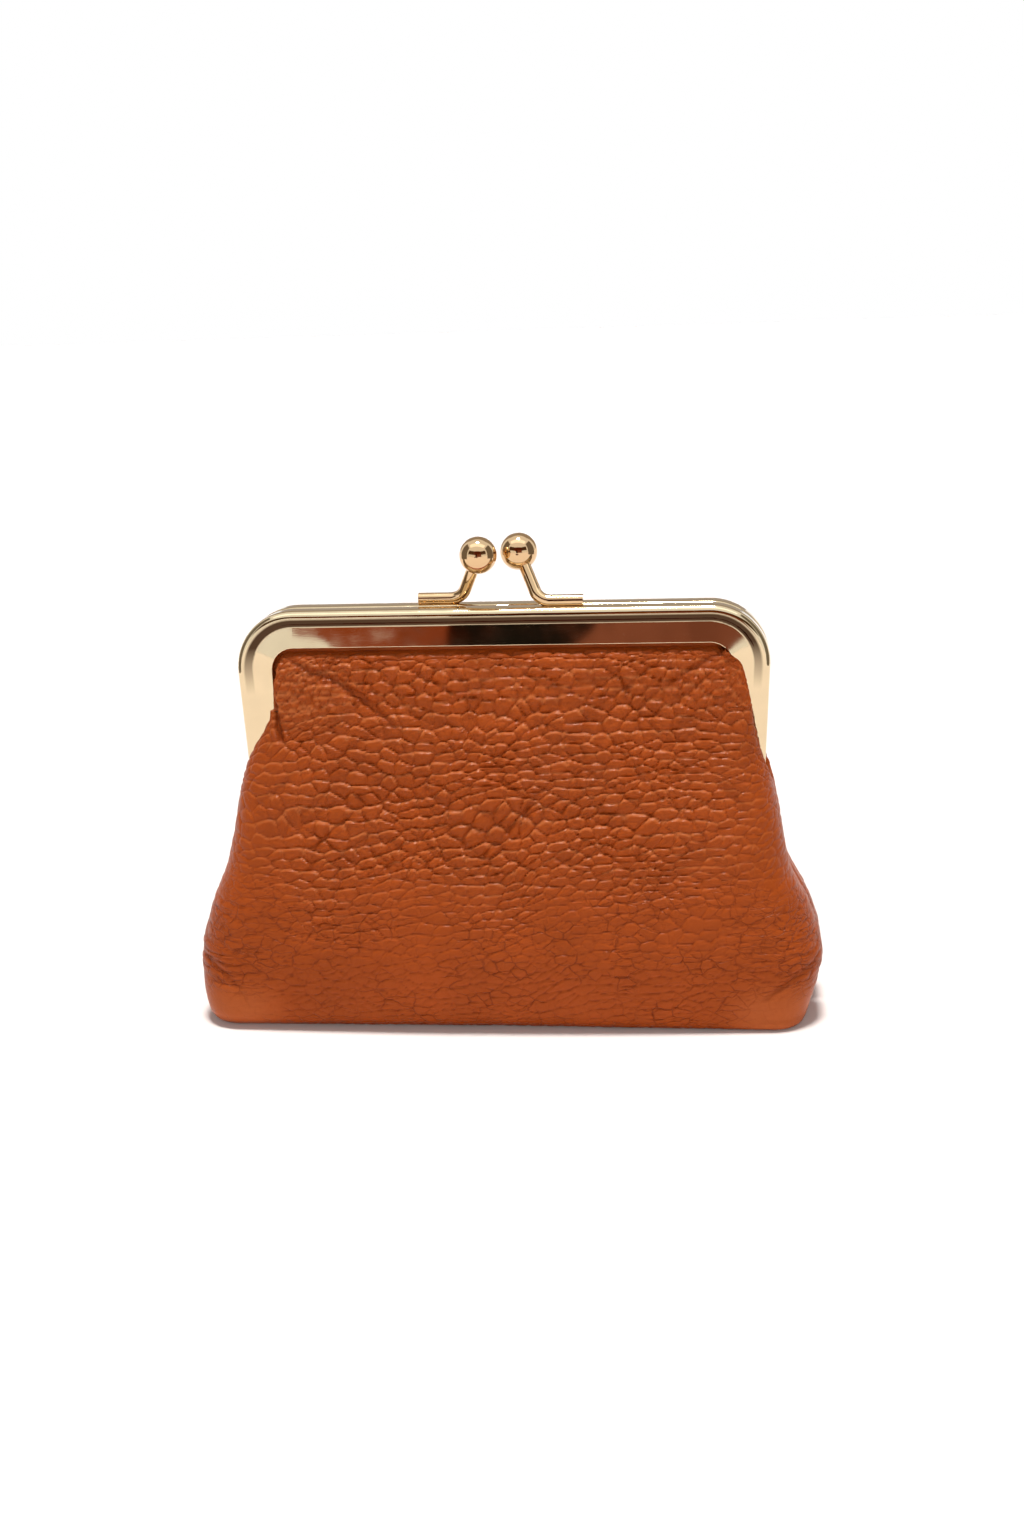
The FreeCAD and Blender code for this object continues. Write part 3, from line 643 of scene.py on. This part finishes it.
def ramp(tree, source, stops):
    """A colour ramp fed by a value, from (place, colour) stops."""
    made = node(tree, "ValToRGB", (("Fac", source),))
    elements = made.color_ramp.elements
    for element, (place, colour) in ((elements[0], stops[0]), (elements[1], stops[-1])):
        element.position, element.color = place, (*colour, 1.0)
    for place, colour in stops[1:-1]:
        elements.new(place).color = (*colour, 1.0)
    return made.outputs["Color"]


def share(tree, source, low, high, low_to, high_to):
    """A value moved from one range to another."""
    made = node(
        tree, "MapRange", (("Value", source),), From_Min=low, From_Max=high, To_Min=low_to, To_Max=high_to)
    return made.outputs["Result"]


def mixed(tree, kind, factor, first, second):
    """Two colours mixed by a factor."""
    made = node(tree, "Mix", data_type="RGBA", blend_type=kind)
    for number, source in ((0, factor), (6, first), (7, second)):
        feed(tree, made.inputs[number], source)
    return made.outputs[2]


def shade(colour, factor):
    """A colour made lighter or darker."""
    return tuple(min(1.0, channel * factor) for channel in colour)


def mark(tree, name):
    """A mark that the leather's mesh carries."""
    return node(tree, "Attribute", attribute_name=name).outputs["Fac"]


def dress(tree, shader, colour, roughness, normal):
    """Links a finish to its shader."""
    for socket, source in (("Base Color", colour), ("Roughness", roughness), ("Normal", normal)):
        tree.links.new(source, shader.inputs[socket])


def crack_lines(tree, place, width, height, thin, scatter):
    """Fine broken lines between flat scales of a width and height, on the flat cut in millimetres."""
    bend = node(tree, "TexNoise", (("Vector", place),), Scale=0.45, Detail=3.0).outputs["Color"]
    swayed = vectors(tree, "MULTIPLY_ADD", bend, (2.6, 1.8, 0.0), place)
    scales = node(
        tree, "TexVoronoi", (("Vector", vectors(tree, "MULTIPLY", swayed, (1.0 / width, 1.0 / height, 0.0))),),
        voronoi_dimensions="2D", feature="DISTANCE_TO_EDGE", Scale=1.0, Randomness=1.0)
    line = share(tree, scales.outputs["Distance"], 0.0, thin, 1.0, 0.0)
    left = share(tree, noise(tree, place, scatter, 2.0), 0.38, 0.56, 0.0, 1.0)
    return numbers(tree, "MULTIPLY", line, left)


def leather_finish(look):
    """Tan leather, with painted shade in its grooves, creases and cracks, a painted highlight on its pebbles'
    upper rims, and paler where it is stretched.
    """
    material, tree, shader = fresh_material("tan_pebbled_leather")
    place = on_object(tree)
    cut = node(tree, "Attribute", attribute_name="cut").outputs["Vector"]
    speck = noise(tree, place, 1500.0, 3.0)
    pore = node(tree, "TexVoronoi", (("Vector", place),), Scale=2600.0).outputs["Distance"]
    # Fine crack and wrinkle lines, which are dented and also get painted shade in their colour
    cracks = numbers(tree, "MULTIPLY", crack_lines(tree, cut, 3.6, 1.9, 0.07, 0.16), mark(tree, "cracked"))
    wrinkles = numbers(tree, "MULTIPLY", crack_lines(tree, cut, 6.5, 1.1, 0.09, 0.3), mark(tree, "wrinkled"))
    lines = numbers(tree, "MAXIMUM", cracks, wrinkles)
    clouds = ((0.3, shade(look.colour, 0.92)), (0.7, shade(look.colour, 1.08)))
    ground = ramp(tree, noise(tree, place, 90.0, 4.0), clouds)
    # Coats over the ground: a painted highlight on the pebbles' upper rims, the paler stretched corners, and
    # painted shade in the grooves, creases, crack and wrinkle lines
    coats = (
        (share(tree, mark(tree, "painted_rim_highlight"), 0.1, 1.0, 0.0, 0.75), look.rim_highlight_colour),
        (share(tree, mark(tree, "stretched"), 0.0, 1.0, 0.0, 0.8), look.stretched_colour),
        (share(tree, mark(tree, "groove"), 0.1, 1.0, 0.0, 0.65), look.groove_shade_colour),
        (share(tree, lines, 0.0, 1.0, 0.0, 0.6), look.groove_shade_colour),
    )
    for amount, colour in coats:
        ground = mixed(tree, "MIX", amount, ground, (*colour, 1.0))
    ground = mixed(tree, "MULTIPLY", share(tree, speck, 0.3, 0.7, 0.2, 0.0), ground, (0.7, 0.6, 0.55, 1.0))
    shader.inputs["Specular IOR Level"].default_value = 0.15
    shader.inputs["Specular Tint"].default_value = (1.0, 0.85, 0.7, 1.0)
    dents = bumped(tree, lines, 0.7, 0.15 * MM, invert=True)
    pits = bumped(tree, pore, 0.2, 0.06 * MM, bumped(tree, speck, 0.3, 0.1 * MM, dents))
    dress(tree, shader, ground, share(tree, speck, 0.3, 0.75, 0.3, 0.45), pits)
    return material


def lining_finish(look):
    """Plain woven cotton."""
    material, tree, shader = fresh_material("lining_cotton")
    place = on_object(tree)
    over, under = (
        node(tree, "TexWave", (("Vector", place),), bands_direction=way, Scale=0.5 / look.weave, Distortion=0.6)
        for way in ("X", "Z"))
    thread = mixed(tree, "MULTIPLY", 1.0, over.outputs["Color"], under.outputs["Color"])
    slub = noise(tree, place, 220.0, 5.0)
    ground = ramp(tree, slub, ((0.3, shade(look.colour, 0.82)), (0.7, shade(look.colour, 1.12))))
    # Painted shade: the gaps between the threads are darkened in colour
    gaps = share(tree, thread, 0.0, 0.6, 0.45, 0.0)
    ground = mixed(tree, "MIX", gaps, ground, (*shade(look.colour, 0.5), 1.0))
    shader.inputs["Sheen Weight"].default_value = 0.25
    rough = share(tree, slub, 0.3, 0.7, 0.8, 0.95)
    dress(tree, shader, ground, rough, bumped(tree, thread, 0.5, 0.1 * MM))
    return material


def groove_sides(tree, place, facing_way):
    """1 on the side of the frame's bead and groove that faces the mouth: along the top, then down the legs."""
    past = vectors(tree, "SUBTRACT", vectors(tree, "ABSOLUTE", place), CORNER_CENTRE)
    beyond = vectors(tree, "MAXIMUM", past, (0.0, 0.0, 0.0))
    outward = vectors(tree, "MULTIPLY", beyond, vectors(tree, "SIGN", place))
    along = vectors(tree, "DOT_PRODUCT", vectors(tree, "NORMALIZE", outward), facing_way)
    turned = share(tree, along, -0.15, 0.14, 1.0, 0.0)
    bead = share(tree, vectors(tree, "LENGTH", outward), *BEAD_START, 0.0, 1.0)
    inner = numbers(tree, "MULTIPLY", turned, bead)
    height = node(tree, "SeparateXYZ", (("Vector", place),)).outputs["Z"]
    top = numbers(tree, "MULTIPLY", inner, share(tree, height, *LEG_END, 0.0, 1.0))
    legs = numbers(tree, "MULTIPLY", inner, share(tree, height, *LEG_END, 1.0, 0.0))
    return top, legs


def gold_finish(look, name, grooved):
    """Polished pale gold plate with faint waves, hairlines and rubbed patches.

    The frame's groove is darkened along the top with painted shade and dark reflection, and evened out down the
    legs.
    """
    material, tree, shader = fresh_material(name)
    place = on_object(tree)
    rub, swell = noise(tree, place, 260.0, 6.0), noise(tree, place, 85.0, 1.0)
    drawn = node(tree, "Mapping", (("Vector", place),), Scale=(500.0, 4000.0, 9000.0)).outputs["Vector"]
    gold = look.colour if grooved else look.clasp_colour
    ground = ramp(tree, rub, ((0.3, shade(gold, 0.96)), (0.72, shade(gold, 1.03))))
    even = None
    if grooved:
        facing_way = node(tree, "TexCoord").outputs["Normal"]
        top, legs = groove_sides(tree, place, facing_way)
        # Painted shade and dark reflection: the groove along the top bar is darkened in colour
        ground = mixed(tree, "MIX", top, ground, (*look.groove_shade_colour, 1.0))
        squeeze = node(tree, "CombineXYZ", (("X", share(tree, legs, 0.0, 1.0, 1.0, 0.1)),), Y=1.0, Z=1.0)
        squeezed = vectors(tree, "MULTIPLY", facing_way, squeeze.outputs["Vector"])
        even = node(
            tree, "VectorTransform", (("Vector", squeezed),),
            vector_type="NORMAL", convert_from="OBJECT", convert_to="WORLD").outputs["Vector"]
    shader.inputs["Metallic"].default_value = 1.0
    polish = share(tree, rub, 0.35, 0.75, look.roughness * 0.7, look.roughness * 1.8)
    wave = bumped(tree, swell, 0.35, 0.6 * MM, even)
    dress(tree, shader, ground, polish, bumped(tree, noise(tree, drawn, 1.0, 2.0), 0.05, 0.02 * MM, wave))
    return material


def string_finish(look):
    """Twisted kraft paper."""
    material, tree, shader = fresh_material("twisted_paper")
    place = on_object(tree)
    turns = node(tree, "TexWave", (("Vector", place),), bands_direction="DIAGONAL", Scale=0.25 / look.twist)
    twist, fibre = turns.outputs["Fac"], noise(tree, place, 1800.0, 4.0)
    ground = ramp(tree, fibre, ((0.3, shade(look.colour, 0.8)), (0.7, shade(look.colour, 1.1))))
    # Painted shade: the grooves between the turns of the twist are darkened in colour
    gaps = share(tree, twist, 0.0, 0.35, 0.5, 0.0)
    ground = mixed(tree, "MIX", gaps, ground, (*shade(look.colour, 0.45), 1.0))
    dress(tree, shader, ground, share(tree, fibre, 0.3, 0.7, 0.75, 0.95), bumped(tree, twist, 0.6, 0.2 * MM))
    return material


def finish_nodes(names, material):
    """Gives a finish to parts that keep the shape they come with."""
    for name in names:
        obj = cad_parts[name]
        obj.data.materials.clear()
        obj.data.materials.append(material)


class LeatherLook(bpy.types.PropertyGroup):
    """The leather's thickness, grain and colours."""
    thickness: bpy.props.FloatProperty(
        name="Thickness", description="Thickness of the leather", default=1.2 * MM, unit="LENGTH", precision=5)
    grain_width: bpy.props.FloatProperty(
        name="Grain width", description="Width of one pebble", default=3.1 * MM, unit="LENGTH", precision=5)
    grain_height: bpy.props.FloatProperty(
        name="Grain height", description="Height of one pebble", default=1.9 * MM, unit="LENGTH", precision=5)
    grain_relief: bpy.props.FloatProperty(
        name="Grain relief", description="Depth of the grooves", default=0.66 * MM, unit="LENGTH", precision=5)
    colour: bpy.props.FloatVectorProperty(
        name="Colour", description="Colour of the leather",
        default=(0.35, 0.062, 0.008), subtype="COLOR", min=0.0, max=1.0)
    # Painted highlight: the paler colour given to the pebbles' upper rims, where the top light catches them
    rim_highlight_colour: bpy.props.FloatVectorProperty(
        name="Rim colour", description="Colour on the rims of the pebbles",
        default=(0.54, 0.155, 0.045), subtype="COLOR", min=0.0, max=1.0)
    stretched_colour: bpy.props.FloatVectorProperty(
        name="Corner colour", description="Colour where the leather is stretched over the bottom corners",
        default=(0.45, 0.105, 0.026), subtype="COLOR", min=0.0, max=1.0)
    # Painted shade: the dark colour given to the grooves, creases and crack lines
    groove_shade_colour: bpy.props.FloatVectorProperty(
        name="Groove colour", description="Colour in the grooves",
        default=(0.14, 0.02, 0.003), subtype="COLOR", min=0.0, max=1.0)


class LiningLook(bpy.types.PropertyGroup):
    """The lining's weave and colour."""
    weave: bpy.props.FloatProperty(
        name="Weave", description="Distance between threads", default=0.5 * MM, unit="LENGTH", precision=5)
    colour: bpy.props.FloatVectorProperty(
        name="Colour", description="Colour of the cotton",
        default=(0.28, 0.17, 0.09), subtype="COLOR", min=0.0, max=1.0)


class GoldLook(bpy.types.PropertyGroup):
    """The plate on the frame and the clasp."""
    colour: bpy.props.FloatVectorProperty(
        name="Colour", description="Colour of the plate",
        default=(0.75, 0.61, 0.4), subtype="COLOR", min=0.0, max=1.0)
    clasp_colour: bpy.props.FloatVectorProperty(
        name="Clasp colour", description="Colour of the deeper plate on the clasp",
        default=(0.7, 0.49, 0.28), subtype="COLOR", min=0.0, max=1.0)
    # Painted shade and dark reflection in the frame's groove along the top bar
    groove_shade_colour: bpy.props.FloatVectorProperty(
        name="Groove colour", description="Colour of the plate in the frame's groove",
        default=(0.07, 0.04, 0.022), subtype="COLOR", min=0.0, max=1.0)
    roughness: bpy.props.FloatProperty(
        name="Roughness", description="How dull the polish is",
        default=0.06, min=0.0, max=1.0, subtype="FACTOR")


class StringLook(bpy.types.PropertyGroup):
    """The string packed into the channels."""
    twist: bpy.props.FloatProperty(
        name="Twist", description="Length of one turn of the twist",
        default=1.2 * MM, unit="LENGTH", precision=5)
    colour: bpy.props.FloatVectorProperty(
        name="Colour", description="Colour of the paper",
        default=(0.62, 0.5, 0.34), subtype="COLOR", min=0.0, max=1.0)


class StudioLook(bpy.types.PropertyGroup):
    """The camera's place, the floor, and the colours of the cards that the metal mirrors."""
    azimuth: bpy.props.FloatProperty(
        name="Azimuth", description="Camera's angle round the purse",
        default=math.radians(6.309), subtype="ANGLE")
    elevation: bpy.props.FloatProperty(
        name="Elevation", description="Camera's angle above the floor",
        default=math.radians(14.527), subtype="ANGLE")
    roll: bpy.props.FloatProperty(
        name="Roll", description="Camera's turn about its own line of sight",
        default=math.radians(-2.025), subtype="ANGLE")
    distance: bpy.props.FloatProperty(
        name="Distance", description="Camera's distance from the target", default=0.35, unit="LENGTH")
    target: bpy.props.FloatVectorProperty(
        name="Target", description="The point at the middle of the picture",
        default=(0.00105, 0.0, 0.044335), subtype="TRANSLATION")
    lens: bpy.props.FloatProperty(
        name="Lens", description="Focal length in millimetres", default=45.16, unit="CAMERA")
    floor: bpy.props.FloatVectorProperty(
        name="Floor", description="Colour of the floor",
        default=(0.84, 0.77, 0.73), subtype="COLOR", min=0.0, max=1.0)
    warm: bpy.props.FloatVectorProperty(
        name="Warm card", description="Colour of the cards that the metal mirrors",
        default=(0.31, 0.066, 0.024), subtype="COLOR", min=0.0, max=1.0)
    room: bpy.props.FloatVectorProperty(
        name="Room", description="Colour of the room that the metal mirrors at its sides",
        default=(0.42, 0.36, 0.3), subtype="COLOR", min=0.0, max=1.0)


class PURSE_OT_leather(bpy.types.Operator):
    """Make the two leather panels, with their grain, creases and tucked edges"""
    bl_idname = "purse.leather"
    bl_label = "Leather Panels"

    def execute(self, context):
        look = context.scene.purse_leather
        form = bag_form(1.0)
        outward = facing(form)
        s, t = flat_cut(form)
        material = leather_finish(look)
        plain = bag_form(0.0)
        inside = (plain - facing(plain) * (look.thickness / MM))[::STEP, ::STEP]
        halves = (
            ("leather_front", "leather_front_panel", "front_frame", FRONT_SEED, FRONT_WAY),
            ("leather_back", "leather_back_panel", "back_frame", BACK_SEED, BACK_WAY),
        )
        for name, solid, body, seed, way in halves:
            depth, layers = grain_height(form, s, t, seed, look)
            outside = form - outward * depth[:, :, None]
            layers["cut"] = np.stack((s, t, np.full(s.shape, float(seed))), 2)
            panel = sheet_mesh(name, outside, inside, way, STEP, layers, material)
            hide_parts(solid)
            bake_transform(panel)
        return {"FINISHED"}


class PURSE_OT_lining(bpy.types.Operator):
    """Make the two linings that follow the leather inside the bag"""
    bl_idname = "purse.lining"
    bl_label = "Lining"

    def execute(self, context):
        look = context.scene.purse_lining
        form = bag_form(0.0)
        outward = facing(form)
        material = lining_finish(look)
        outside = (form - outward * LINING_OUT)[::STEP, ::STEP]
        inside = (form - outward * LINING_IN)[::STEP, ::STEP]
        halves = (
            ("cotton_lining_front", "lining_front", "front_frame", FRONT_WAY),
            ("cotton_lining_back", "lining_back", "back_frame", BACK_WAY),
        )
        for name, solid, body, way in halves:
            lining = sheet_mesh(name, outside, inside, way, 1, {}, material)
            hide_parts(solid)
            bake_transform(lining)
        return {"FINISHED"}


class PURSE_OT_frame(bpy.types.Operator):
    """Polish the two channels and the rivets they turn on"""
    bl_idname = "purse.frame"
    bl_label = "Frame and Rivets"

    def execute(self, context):
        gold = gold_finish(context.scene.purse_gold, "polished_frame_gold", True)
        names = ("front_frame_channel", "back_frame_channel", "hinge_rivet_left", "hinge_rivet_right")
        finish_nodes(names, gold)
        return {"FINISHED"}


class PURSE_OT_clasp(bpy.types.Operator):
    """Polish the two stems and balls of the clasp"""
    bl_idname = "purse.clasp"
    bl_label = "Clasp"

    def execute(self, context):
        gold = gold_finish(context.scene.purse_gold, "polished_clasp_gold", False)
        finish_nodes(("front_clasp_stem", "back_clasp_stem", "front_clasp_ball", "back_clasp_ball"), gold)
        return {"FINISHED"}


class PURSE_OT_string(bpy.types.Operator):
    """Finish the paper string in the two channels"""
    bl_idname = "purse.string"
    bl_label = "Paper String"

    def execute(self, context):
        paper = string_finish(context.scene.purse_string)
        finish_nodes(("front_paper_cord", "back_paper_cord"), paper)
        return {"FINISHED"}


def plain_sheet(name, corners, material):
    """A flat four-cornered sheet for the studio."""
    mesh = bpy.data.meshes.new(name)
    mesh.from_pydata(corners, [], [(0, 1, 2, 3)])
    mesh.materials.append(material)
    obj = placed(name, mesh)
    return obj


def level_corners(half, near, far, height):
    """Corners of a level sheet, as wide to the left as to the right."""
    return (-half, near, height), (half, near, height), (half, far, height), (-half, far, height)


def seen_white(tree):
    """1 where the camera, a mirror or glass looks, and 0 for light on the object."""
    rays = node(tree, "LightPath").outputs
    return numbers(tree, "MAXIMUM", rays["Is Camera Ray"], rays["Is Glossy Ray"], rays["Is Transmission Ray"])


def floor_finish(look):
    """Matt white paper that keeps the shadow and glows up to white where it is looked at."""
    material, tree, shader = fresh_material("white_paper_floor")
    shader.inputs["Base Color"].default_value = (*look.floor, 1.0)
    shader.inputs["Roughness"].default_value = 1.0
    shader.inputs["Specular IOR Level"].default_value = 0.0
    glow = node(tree, "Emission", (("Strength", share(tree, seen_white(tree), 0.0, 1.0, 0.0, FLOOR_GLOW)),))
    both = node(tree, "AddShader", ((0, shader.outputs[0]), (1, glow.outputs[0])))
    tree.links.new(both.outputs[0], tree.nodes["Material Output"].inputs["Surface"])
    return material


def mirrored_only(card):
    """Hides a card from everything but reflections."""
    card.visible_camera = card.visible_diffuse = card.visible_shadow = card.visible_transmission = False


def card_finish(name, colour, strength):
    """A card that only shows as a reflection."""
    material, tree, shader = fresh_material(name)
    tree.nodes.remove(shader)
    glow = node(tree, "Emission", Color=(*colour, 1.0), Strength=strength)
    tree.links.new(glow.outputs[0], tree.nodes["Material Output"].inputs["Surface"])
    return material


def band_finish(name, start, end, stops):
    """A card whose colour drifts from left to right, with soft uneven edges."""
    material = card_finish(name, stops[0][1], 1.0)
    tree = material.node_tree
    place = on_object(tree)
    drift = share(tree, noise(tree, place, 45.0, 3.0), 0.25, 0.75, -BAND_DRIFT, BAND_DRIFT)
    across = node(tree, "SeparateXYZ", (("Vector", place),)).outputs["X"]
    along = share(tree, numbers(tree, "ADD", across, drift), start, end, 0.0, 1.0)
    tree.links.new(ramp(tree, along, stops), tree.nodes["Emission"].inputs["Color"])
    return material


def soft_sun(name, place, strength, spread_deg, mirrored):
    """Even light from one direction with soft shadows, mirrored by the metal or not."""
    data = bpy.data.lights.new(name, "SUN")
    data.energy, data.angle = strength, math.radians(spread_deg)
    lamp = placed(name, data)
    lamp.location = place
    lamp.visible_glossy = mirrored
    lamp.rotation_euler = Vector(place).to_track_quat("Z", "Y").to_euler()


# The studio's lights, and its floor, soft box and cards in metres
WORLD_LIGHT = 0.19
FLOOR_GLOW = 0.04
SUN_FROM, SUN_STRENGTH, SUN_SPREAD_DEG = (0.0, 0.03, 0.999), 3.6, 12.0
FILL_FROM, FILL_STRENGTH, FILL_SPREAD_DEG = (0.12, -0.94, 0.32), 0.85, 50.0
BOX_STRENGTH = 1.7
FLOOR_HALF = 4.0
BOX_HALF, BOX_NEAR, BOX_FAR, BOX_HEIGHT = 0.4, -0.26, -0.03, 0.6
CARD_LEFT, BAND_LEFT, BAND_RIGHT, CARD_RIGHT, CARD_FRONT = -0.135, -0.056, 0.026, 0.163, -0.34
BAND_LOW, BAND_TILT, BAND_HIGH, BAND_END, BAND_DRIFT = 0.075, 0.13, 0.17, 0.12, 0.012
WING_OUT, WING_BACK, WING_LOW, CARD_HIGH = 0.32, -0.2, 0.158, 0.31
REAR, REAR_LOW, REAR_HIGH = 0.5, 0.1, 0.9
SIDE_OUT, SIDE_HALF, SIDE_LOW, SIDE_HIGH = 0.22, 0.1, 0.025, 0.3
BLACK, BROWN, RUDDY = (0.01, 0.008, 0.006), (0.09, 0.045, 0.02), (0.24, 0.078, 0.045)


def mirrored_cards(look):
    """Cards that the metal mirrors: a band in front with dull ones round it, a room and a soft box."""
    warm, dull, dusk, dim = tuple(look.warm), shade(look.warm, 0.35), tuple(look.room), shade(look.room, 0.5)
    stops = (
        (0.0, warm), (0.2, warm), (0.24, shade(warm, 0.7)), (0.27, shade(warm, 0.95)),
        (0.31, shade(warm, 0.12)), (0.34, BLACK), (0.45, BLACK), (0.48, shade(RUDDY, 0.25)), (0.5, RUDDY),
        (0.56, shade(RUDDY, 1.15)), (0.61, shade(RUDDY, 1.05)), (0.66, shade(RUDDY, 0.85)), (1.0, RUDDY),
    )
    band = band_finish("front_band", CARD_LEFT, BAND_END, stops)
    cards = (
        ("brown_card_left", BROWN, (-WING_OUT, WING_BACK), (CARD_LEFT, CARD_FRONT), WING_LOW, CARD_HIGH),
        ("brown_card_right", BROWN, (CARD_RIGHT, CARD_FRONT), (WING_OUT, WING_BACK), WING_LOW, CARD_HIGH),
        ("dull_card_high", dull, (CARD_LEFT, CARD_FRONT), (CARD_RIGHT, CARD_FRONT), BAND_HIGH, CARD_HIGH),
        ("room_card_rear", dusk, (-REAR, REAR), (REAR, REAR), REAR_LOW, REAR_HIGH),
        ("room_card_left", dim, (-SIDE_OUT, -SIDE_HALF), (-SIDE_OUT, SIDE_HALF), SIDE_LOW, SIDE_HIGH),
        ("room_card_right", dim, (SIDE_OUT, -SIDE_HALF), (SIDE_OUT, SIDE_HALF), SIDE_LOW, SIDE_HIGH),
    )
    for name, colour, start, end, low, high in cards:
        corners = ((*start, low), (*end, low), (*end, high), (*start, high))
        mirrored_only(plain_sheet(name, corners, card_finish(name, colour, 1.0)))
    pieces = (
        ("front_band_left", (CARD_LEFT, WING_LOW), (BAND_LEFT, BAND_TILT)),
        ("front_band_middle", (BAND_LEFT, BAND_LOW), (BAND_RIGHT, BAND_LOW)),
        ("front_band_right", (BAND_RIGHT, BAND_LOW), (CARD_RIGHT, BAND_LOW)),
    )
    for name, start, end in pieces:
        outline = (start, end, (end[0], BAND_HIGH), (start[0], BAND_HIGH))
        mirrored_only(plain_sheet(name, [(x, CARD_FRONT, z) for x, z in outline], band))
    box = level_corners(BOX_HALF, BOX_NEAR, BOX_FAR, BOX_HEIGHT)
    mirrored_only(plain_sheet("soft_box", box, card_finish("soft_box", (1.0, 1.0, 1.0), BOX_STRENGTH)))


def product_camera(look):
    """The camera that takes the picture."""
    turn, rise = look.azimuth, look.elevation
    back = Vector((math.sin(turn) * math.cos(rise), -math.cos(turn) * math.cos(rise), math.sin(rise)))
    right = Vector((math.cos(turn), math.sin(turn), 0.0))
    level = right * math.cos(look.roll) + back.cross(right) * math.sin(look.roll)
    upright = back.cross(level)
    data = bpy.data.cameras.new("product_camera")
    data.lens, data.sensor_width = look.lens, 36.0
    data.clip_start, data.clip_end = 0.01, 50.0
    camera = placed("product_camera", data)
    place = Vector(look.target) + back * look.distance
    camera.matrix_world = Matrix.Translation(place) @ Matrix((level, upright, back)).transposed().to_4x4()
    return camera


class PURSE_OT_studio(bpy.types.Operator):
    """Set the floor, the lights, the mirrored cards and the camera"""
    bl_idname = "purse.studio"
    bl_label = "Studio"

    def execute(self, context):
        look = context.scene.purse_studio
        scene = context.scene
        scene.view_settings.view_transform = "Standard"
        world = bpy.data.worlds.new("white_studio")
        world.use_nodes = True
        scene.world = world
        tree = world.node_tree
        ground = tree.nodes["Background"]
        ground.inputs["Color"].default_value = (1.0, 1.0, 1.0, 1.0)
        seen = share(tree, seen_white(tree), 0.0, 1.0, WORLD_LIGHT, 1.0)
        tree.links.new(seen, ground.inputs["Strength"])
        plain_sheet("paper_floor", level_corners(FLOOR_HALF, -FLOOR_HALF, FLOOR_HALF, 0.0), floor_finish(look))
        soft_sun("high_sun", SUN_FROM, SUN_STRENGTH, SUN_SPREAD_DEG, True)
        soft_sun("front_fill", FILL_FROM, FILL_STRENGTH, FILL_SPREAD_DEG, False)
        mirrored_cards(look)
        scene.camera = product_camera(look)
        return {"FINISHED"}


class PURSE_PT_sidebar(bpy.types.Panel):
    """The purse's pieces and the studio"""
    bl_label = "Kiss Lock Frame Purse"
    bl_idname = "PURSE_PT_sidebar"
    bl_space_type = "VIEW_3D"
    bl_region_type = "UI"
    bl_category = "Purse"

    def draw(self, context):
        for group, look, maker in GROUPS:
            box = self.layout.box()
            box.operator(maker.bl_idname)
            if look:
                held = getattr(context.scene, group)
                for field in held.bl_rna.properties.keys():
                    if field not in ("rna_type", "name"):
                        box.prop(held, field)


GROUPS = (
    ("purse_leather", LeatherLook, PURSE_OT_leather),
    ("purse_lining", LiningLook, PURSE_OT_lining),
    ("purse_gold", GoldLook, PURSE_OT_frame),
    (None, None, PURSE_OT_clasp),
    ("purse_string", StringLook, PURSE_OT_string),
    ("purse_studio", StudioLook, PURSE_OT_studio),
)


def register():
    for group, look, maker in GROUPS:
        if look:
            bpy.utils.register_class(look)
            setattr(bpy.types.Scene, group, bpy.props.PointerProperty(type=look))
        bpy.utils.register_class(maker)
    bpy.utils.register_class(PURSE_PT_sidebar)


def unregister():
    bpy.utils.unregister_class(PURSE_PT_sidebar)
    for group, look, maker in reversed(GROUPS):
        bpy.utils.unregister_class(maker)
        if look:
            delattr(bpy.types.Scene, group)
            bpy.utils.unregister_class(look)


def main():
    register()
    bpy.ops.purse.leather()
    bpy.ops.purse.lining()
    bpy.ops.purse.frame()
    bpy.ops.purse.clasp()
    bpy.ops.purse.string()
    bpy.ops.purse.studio()
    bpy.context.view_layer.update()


if __name__ == "__main__":
    main()
